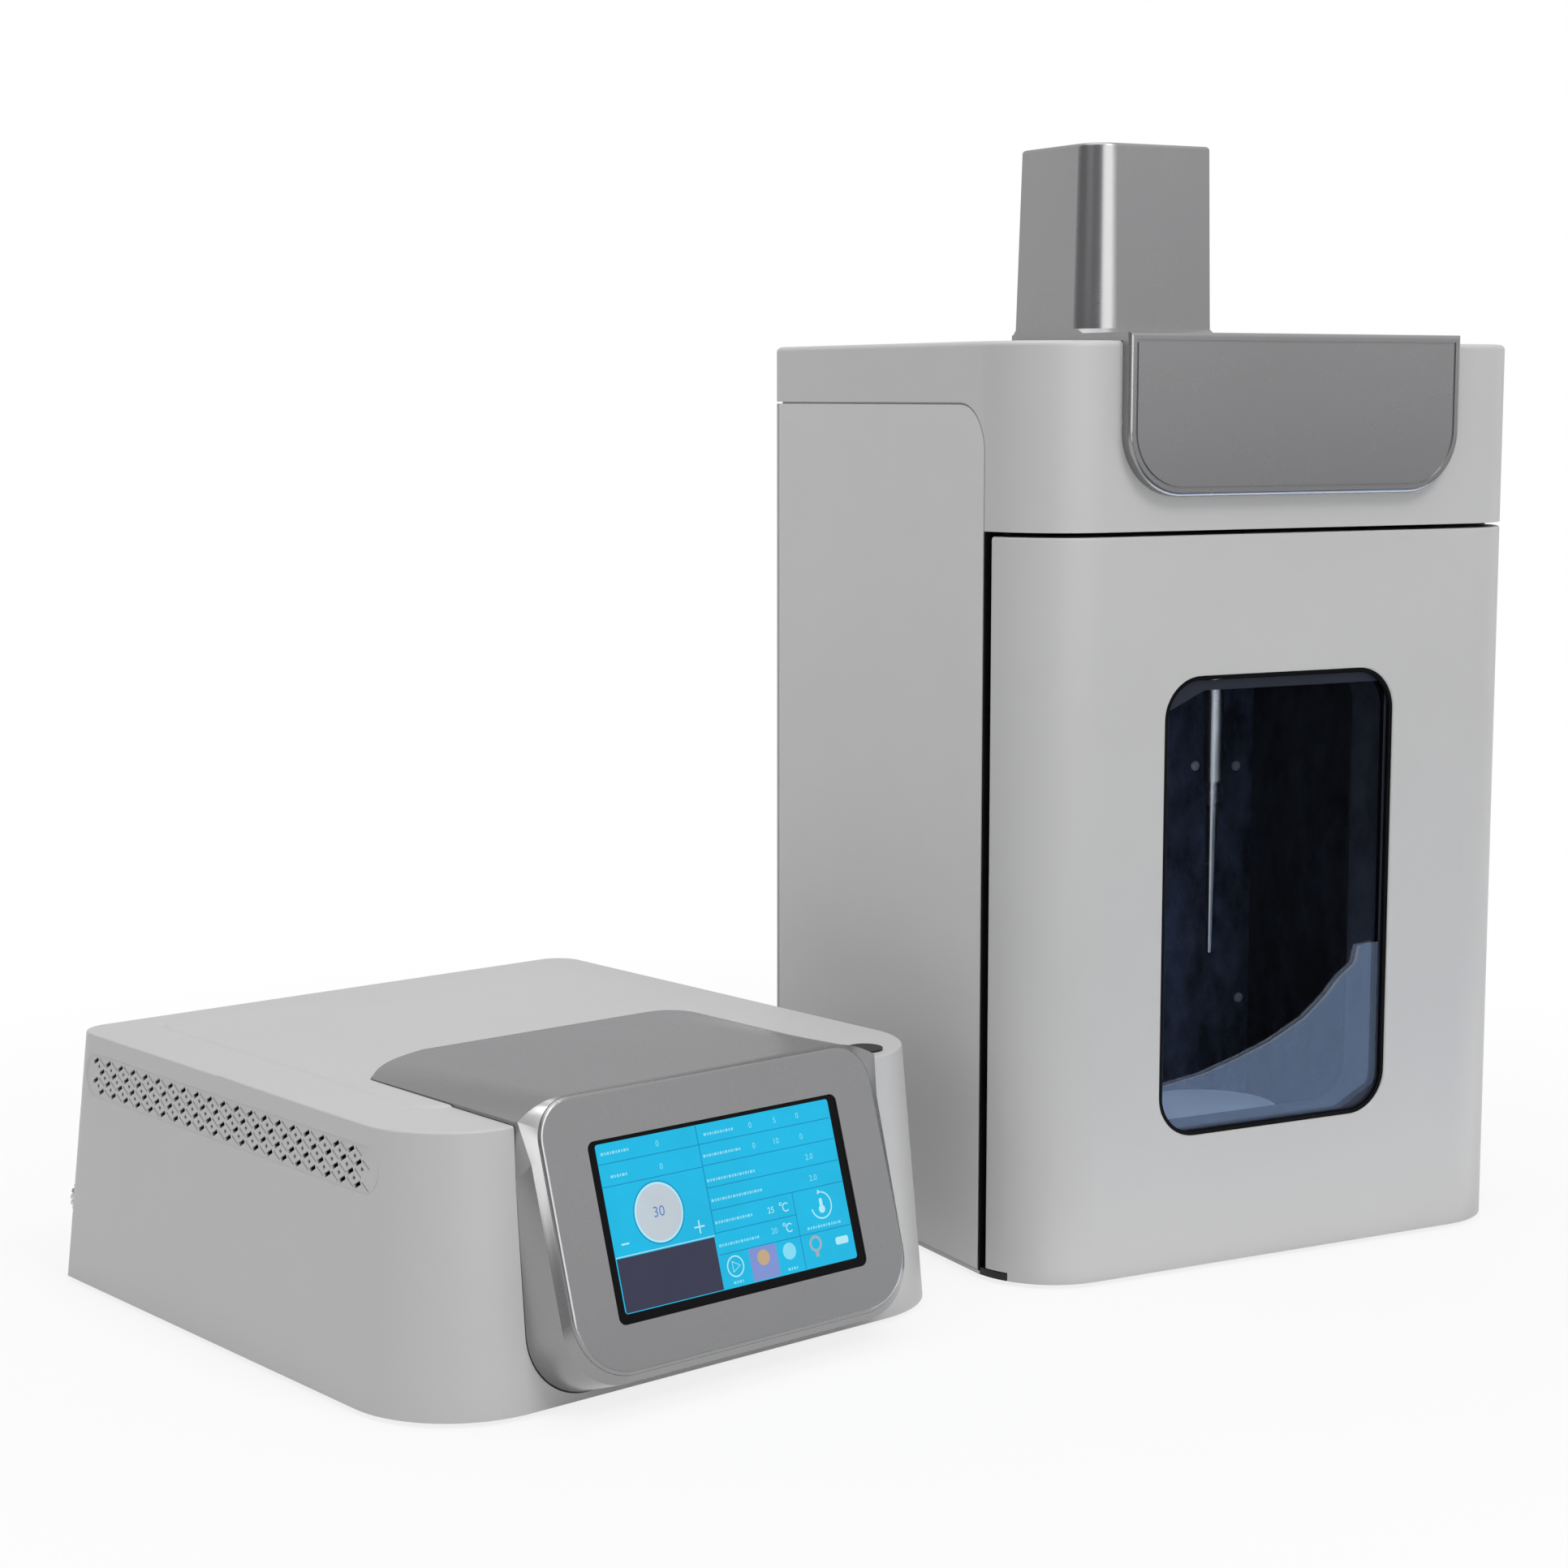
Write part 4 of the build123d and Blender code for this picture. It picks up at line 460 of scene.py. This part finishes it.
CYAN = lit("screen_cyan", (0.006, 0.46, 0.74))
DEEP = lit("screen_grid", (0.004, 0.26, 0.50))
DARK_AREA = lit("screen_dark_field", (0.036, 0.038, 0.072))
WHITE = lit("screen_white", (0.42, 0.78, 0.88))
SOFT = lit("screen_pale_marks", (0.22, 0.68, 0.86))
CAPTION = lit("screen_caption_marks", (0.26, 0.66, 0.84))
DISC = lit("screen_disc", (0.50, 0.57, 0.63))
BLUE = lit("screen_blue_figures", (0.10, 0.22, 0.50))
VIOLET = lit("screen_violet", (0.20, 0.27, 0.60))
AMBER = lit("screen_amber", (0.50, 0.36, 0.22))
TAUPE = lit("screen_taupe", (0.32, 0.42, 0.48))


# millimetres, measured from the screen's top left corner: u to the right, v up, so v is below zero
SCREEN_W, SCREEN_H = 154.1, 85.9
SCREEN_SHIFT = 0.9
GLASS_FACE = -0.8
LAYER = 0.06
LINE_W = 0.5
LEFT_EDGE, MIDDLE, RIGHT_EDGE = 1.6, 63.8, 150.0
LEFT_LINES = (10.4, 21.4)
RIGHT_LINES = (10.3, 21.0, 32.1, 43.2, 65.4)
DIAL = (32.0, -38.4)
CAPTION_H = 1.3
DASH_WIDTHS = (1.5, 0.8, 1.2, 0.6)
DASH_GAP = 0.7


def screen(name, material, level, draw):
    """Draws one layer of the picture as a piece of its own; higher levels lie over lower ones."""
    matrix = FACE @ Matrix.Translation(Vector((SCREEN_SHIFT - SCREEN_W / 2, SCREEN_H / 2, 0)) * MM)
    low = GLASS_FACE + 0.02 + LAYER * level
    layer = Flat(matrix, low if level else GLASS_FACE + 0.005, low + LAYER * 0.8)
    draw(layer)
    layer.piece(name, material, "display", "root")


def dashes(layer, u, v, length):
    """A row of short marks of uneven length where a caption would be."""
    left = u - length / 2
    index = 0
    while left < u + length / 2:
        width = DASH_WIDTHS[index % len(DASH_WIDTHS)]
        layer.rect(left, left + width, v - CAPTION_H / 2, v + CAPTION_H / 2)
        left += width + DASH_GAP
        index += 1


def picture(layer):
    layer.rounded(1.4, 150.4, -82.6, -0.6, 1.6)


def grid(layer):
    lines = [(LEFT_EDGE, 63.2, v) for v in LEFT_LINES]
    lines += [(MIDDLE, RIGHT_EDGE, v) for v in RIGHT_LINES]
    lines.append((MIDDLE, 115.8, 54.5))
    for start, end, v in lines:
        layer.rect(start, end, -v - LINE_W / 2, -v + LINE_W / 2)
    layer.rect(63.2, MIDDLE, -55.4, -0.8)
    layer.rect(115.8, 116.3, -82.4, -43.4)
    layer.ring(*DIAL, 15.1, 0.7)


def white_marks(layer):
    layer.ring(*DIAL, 14.2, 1.0)
    layer.rect(1.6, 62.9, -55.7, -55.3)
    layer.rect(6.4, 11.0, -50.2, -49.4)
    layer.rect(51.4, 57.8, -50.0, -49.2)
    layer.rect(54.2, 55.0, -52.9, -50.0)
    layer.rect(54.2, 55.0, -49.2, -46.4)
    layer.ring(72.1, -72.4, 5.0, 0.7)
    layer.stroke([(70.4, -75.0), (70.4, -69.8), (75.0, -72.4)], 0.6, True)
    layer.ring(133.4, -52.6, 6.6, 0.7, -170, 80)
    layer.fill([(132.0, -47.0), (134.4, -46.1), (132.6, -44.6)])
    layer.rounded(132.4, 134.4, -54.0, -49.0, 0.9)
    layer.disc(133.4, -54.6, 2.0)
    layer.rounded(138.2, 146.6, -74.0, -70.2, 1.2)
    layer.text("25", 100.6, -49.6, 4.4)
    for v in (-49.6, -60.0):
        layer.ring(107.2, v + 2.0, 0.7, 0.4)
        layer.ring(110.4, v, 2.0, 0.6, 45, 315)


def captions(layer):
    for u, v, length in ((12.4, 5.6, 17), (12.4, 17.0, 10), (77.2, 6.0, 19), (77.0, 16.4, 24),
                         (80.0, 28.6, 31), (81.4, 38.6, 33), (76.6, 49.6, 24)):
        dashes(layer, u, -v, length)


def soft_marks(layer):
    for figure, u, v in (("0", 38.4, 5.8), ("0", 38.4, 17.0),
                         ("0", 97.6, 6.0), ("5", 113.6, 6.0), ("0", 128.6, 6.0),
                         ("0", 97.6, 16.4), ("10", 112.0, 16.4), ("0", 128.8, 16.8),
                         ("2.0", 131.4, 27.6), ("2.0", 131.4, 38.4), ("20", 100.4, 60.0)):
        layer.text(figure, u, -v, 4.2)
    for u, v, length in ((77.4, 61.0, 26), (72.2, 80.2, 6), (107.6, 80.2, 6), (132.6, 62.8, 22)):
        dashes(layer, u, -v, length)
    layer.disc(107.4, -71.4, 4.2)


def taupe_mark(layer):
    layer.ring(125.0, -70.8, 3.4, 1.3)
    layer.rect(123.9, 126.1, -77.4, -75.0)


screen("display_picture", CYAN, 0, picture)
screen("display_grid_lines", DEEP, 1, grid)
screen("display_dark_field", DARK_AREA, 1, lambda layer: layer.rect(2.0, 62.4, -82.2, -56.2))
screen("display_dial_disc", DISC, 1, lambda layer: layer.disc(*DIAL, 13.7))
screen("display_violet_field", VIOLET, 1, lambda layer: layer.rect(81.8, 99.4, -82.0, -65.8))
screen("display_white_marks", WHITE, 2, white_marks)
screen("display_captions", CAPTION, 2, captions)
screen("display_pale_marks", SOFT, 2, soft_marks)
screen("display_dial_figures", BLUE, 2, lambda layer: layer.text("30", 32.0, -38.2, 7.4))
screen("display_amber_mark", AMBER, 2, lambda layer: layer.disc(90.4, -71.4, 3.9))
screen("display_taupe_mark", TAUPE, 2, taupe_mark)


# ---------------------------------------------------------------- stage
FAR = 14.0
SHADOW_NEAR, SHADOW_FAR = 0.35, 0.95
NEAR_GLOW = 0.82
WALL_CENTRE = (0.17, 0.1)


def stage_plane(name, corners, material):
    mesh = bpy.data.meshes.new(name)
    mesh.from_pydata(corners, [], [tuple(range(len(corners)))])
    mesh.materials.append(material)
    plane = bpy.data.objects.new(name, mesh)
    bpy.context.scene.collection.objects.link(plane)
    return plane


def seen_directly(tree):
    """1 for camera, glossy and transmission rays."""
    path = tree.nodes.new("ShaderNodeLightPath")
    total = path.outputs["Is Camera Ray"]
    for other in ("Is Glossy Ray", "Is Transmission Ray"):
        most = tree.nodes.new("ShaderNodeMath")
        most.operation = "MAXIMUM"
        tree.links.new(total, most.inputs[0])
        tree.links.new(path.outputs[other], most.inputs[1])
        total = most.outputs[0]
    return total


def floor_material():
    """White floor that glows fully far away and takes shadows near the object."""
    material = bpy.data.materials.new("pale_floor")
    material.use_nodes = True
    tree = material.node_tree
    tree.nodes.clear()
    out = tree.nodes.new("ShaderNodeOutputMaterial")
    diffuse = tree.nodes.new("ShaderNodeBsdfDiffuse")
    diffuse.inputs["Color"].default_value = (0.9, 0.9, 0.9, 1)
    glow = tree.nodes.new("ShaderNodeEmission")
    glow.inputs["Color"].default_value = (1, 1, 1, 1)
    place = tree.nodes.new("ShaderNodeTexCoord")
    away = tree.nodes.new("ShaderNodeVectorMath")
    away.operation = "LENGTH"
    tree.links.new(place.outputs["Object"], away.inputs[0])
    share = tree.nodes.new("ShaderNodeMapRange")
    share.inputs["From Min"].default_value = SHADOW_NEAR
    share.inputs["From Max"].default_value = SHADOW_FAR
    share.inputs["To Min"].default_value = NEAR_GLOW
    share.inputs["To Max"].default_value = 1.0
    tree.links.new(away.outputs["Value"], share.inputs["Value"])
    part = tree.nodes.new("ShaderNodeMath")
    part.operation = "MULTIPLY"
    mix = tree.nodes.new("ShaderNodeMixShader")
    tree.links.new(seen_directly(tree), part.inputs[0])
    tree.links.new(share.outputs["Result"], part.inputs[1])
    tree.links.new(part.outputs[0], mix.inputs["Fac"])
    tree.links.new(diffuse.outputs[0], mix.inputs[1])
    tree.links.new(glow.outputs[0], mix.inputs[2])
    tree.links.new(mix.outputs[0], out.inputs["Surface"])
    return material


stage_plane("floor", [(-FAR, -FAR, 0), (FAR, -FAR, 0), (FAR, FAR, 0), (-FAR, FAR, 0)], floor_material())


def card(name, corners, colour, strength=1.0):
    """Studio card that only reflections and glass show."""
    material = bpy.data.materials.new(name)
    material.use_nodes = True
    tree = material.node_tree
    tree.nodes.clear()
    glow = tree.nodes.new("ShaderNodeEmission")
    glow.inputs["Color"].default_value = (*colour, 1)
    glow.inputs["Strength"].default_value = strength
    out = tree.nodes.new("ShaderNodeOutputMaterial")
    tree.links.new(glow.outputs[0], out.inputs["Surface"])
    sheet = stage_plane(name, corners, material)
    sheet.visible_camera = False
    sheet.visible_diffuse = False
    sheet.visible_shadow = False
    return sheet


def wall_card(name, start, end, radius, low, high, colour, strength=1.0):
    """Upright card on a circle round the enclosure, between two directions in degrees."""
    steps = max(2, int(abs(end - start) / 6))
    for i in range(steps):
        a, b = (radians(start + (end - start) * k / steps) for k in (i, i + 1))
        x, y = WALL_CENTRE
        foot = [CAB @ Vector((x + radius * cos(t), y + radius * sin(t), 0)) for t in (a, b)]
        corners = [(p.x, p.y, low) for p in foot] + [(p.x, p.y, high) for p in reversed(foot)]
        card(f"{name}_{i}", corners, colour, strength)


def floor_card(name, points, height, colour, strength=1.0):
    """Flat card just over the floor, its points in millimetres in the enclosure's frame."""
    corners = [CAB @ Vector((x * MM, y * MM, height)) for x, y in points]
    card(name, corners, colour, strength)


# curved edge between the bright bench and the dark room that the window mirrors
BENCH_EDGE = [
    (300, -350), (361, -370), (408, -388), (460, -418), (517, -454), (593, -511),
    (662, -573), (721, -630), (774, -676), (830, -740), (900, -760)]
EDGE_LINE = [(x - 1.3, y - 2.0) for x, y in BENCH_EDGE]
BRIGHT_BENCH = [(150, -150), (1000, -150), *BENCH_EDGE[::-1], (150, -330)]
NEAR_BENCH = [(-20, -8), (1000, -8), (1000, -150), (-20, -150)]
DARK_ROOM = [(-100, -330), (150, -330), *BENCH_EDGE, (2600, -760), (2600, -3400), (-100, -3400)]
DARK_Z, BRIGHT_Z, LINE_Z = 0.0004, 0.0006, 0.0008
floor_card("bright_bench", BRIGHT_BENCH, BRIGHT_Z, (0.33, 0.46, 0.70), 3.3)
floor_card("bench_edge_line", BENCH_EDGE + EDGE_LINE[::-1], LINE_Z, (0.8, 0.85, 0.95), 3.0)
floor_card("near_bench", NEAR_BENCH, BRIGHT_Z, (1, 1, 1), 3.0)
floor_card("dark_floor", DARK_ROOM, DARK_Z, (0.02, 0.022, 0.028))
wall_card("left_flag", 136, 240, 3.0, 0.02, 3.2, (0.2, 0.2, 0.215))
wall_card("soft_strip", 244, 286, 3.0, 0.25, 3.2, (1, 1, 1), 3.2)
wall_card("right_flag", 292, 350, 3.2, 0.28, 3.2, (0.86, 0.86, 0.87))
wall_card("low_right_flag", 240, 350, 3.3, -0.02, 0.28, (0.02, 0.02, 0.025))
wall_card("back_flag", 20, 105, 3.2, 0.05, 2.6, (0.56, 0.56, 0.57))

world = bpy.data.worlds.new("studio")
world.use_nodes = True
bpy.context.scene.world = world
tree = world.node_tree
background = tree.nodes["Background"]
background.inputs["Color"].default_value = (1, 1, 1, 1)
background.inputs["Strength"].default_value = 0.44
white = tree.nodes.new("ShaderNodeBackground")
white.inputs["Color"].default_value = (1, 1, 1, 1)
white.inputs["Strength"].default_value = 1.0
mix = tree.nodes.new("ShaderNodeMixShader")
tree.links.new(seen_directly(tree), mix.inputs["Fac"])
tree.links.new(background.outputs[0], mix.inputs[1])
tree.links.new(white.outputs[0], mix.inputs[2])
tree.links.new(mix.outputs[0], tree.nodes["World Output"].inputs["Surface"])


def lamp(name, place, target, width, watts):
    """Square white area light aimed at a point."""
    light = bpy.data.lights.new(name, "AREA")
    light.shape = "RECTANGLE"
    light.size = width
    light.size_y = width
    light.energy = watts
    holder = bpy.data.objects.new(name, light)
    holder.location = place
    holder.rotation_euler = (Vector(target) - Vector(place)).to_track_quat("-Z", "Y").to_euler()
    bpy.context.scene.collection.objects.link(holder)


lamp("key_light", (0.5, -2.1, 2.95), (0.1, 0, 0.25), 1.2, 34)
lamp("top_light", (-0.2, 0.1, 2.6), (-0.1, 0, 0), 2.0, 21)
lamp("left_fill", (-2.6, -0.6, 1.2), (0, 0, 0.25), 1.4, 3)

bpy.context.scene.view_settings.view_transform = "Standard"

bpy.context.view_layer.update()
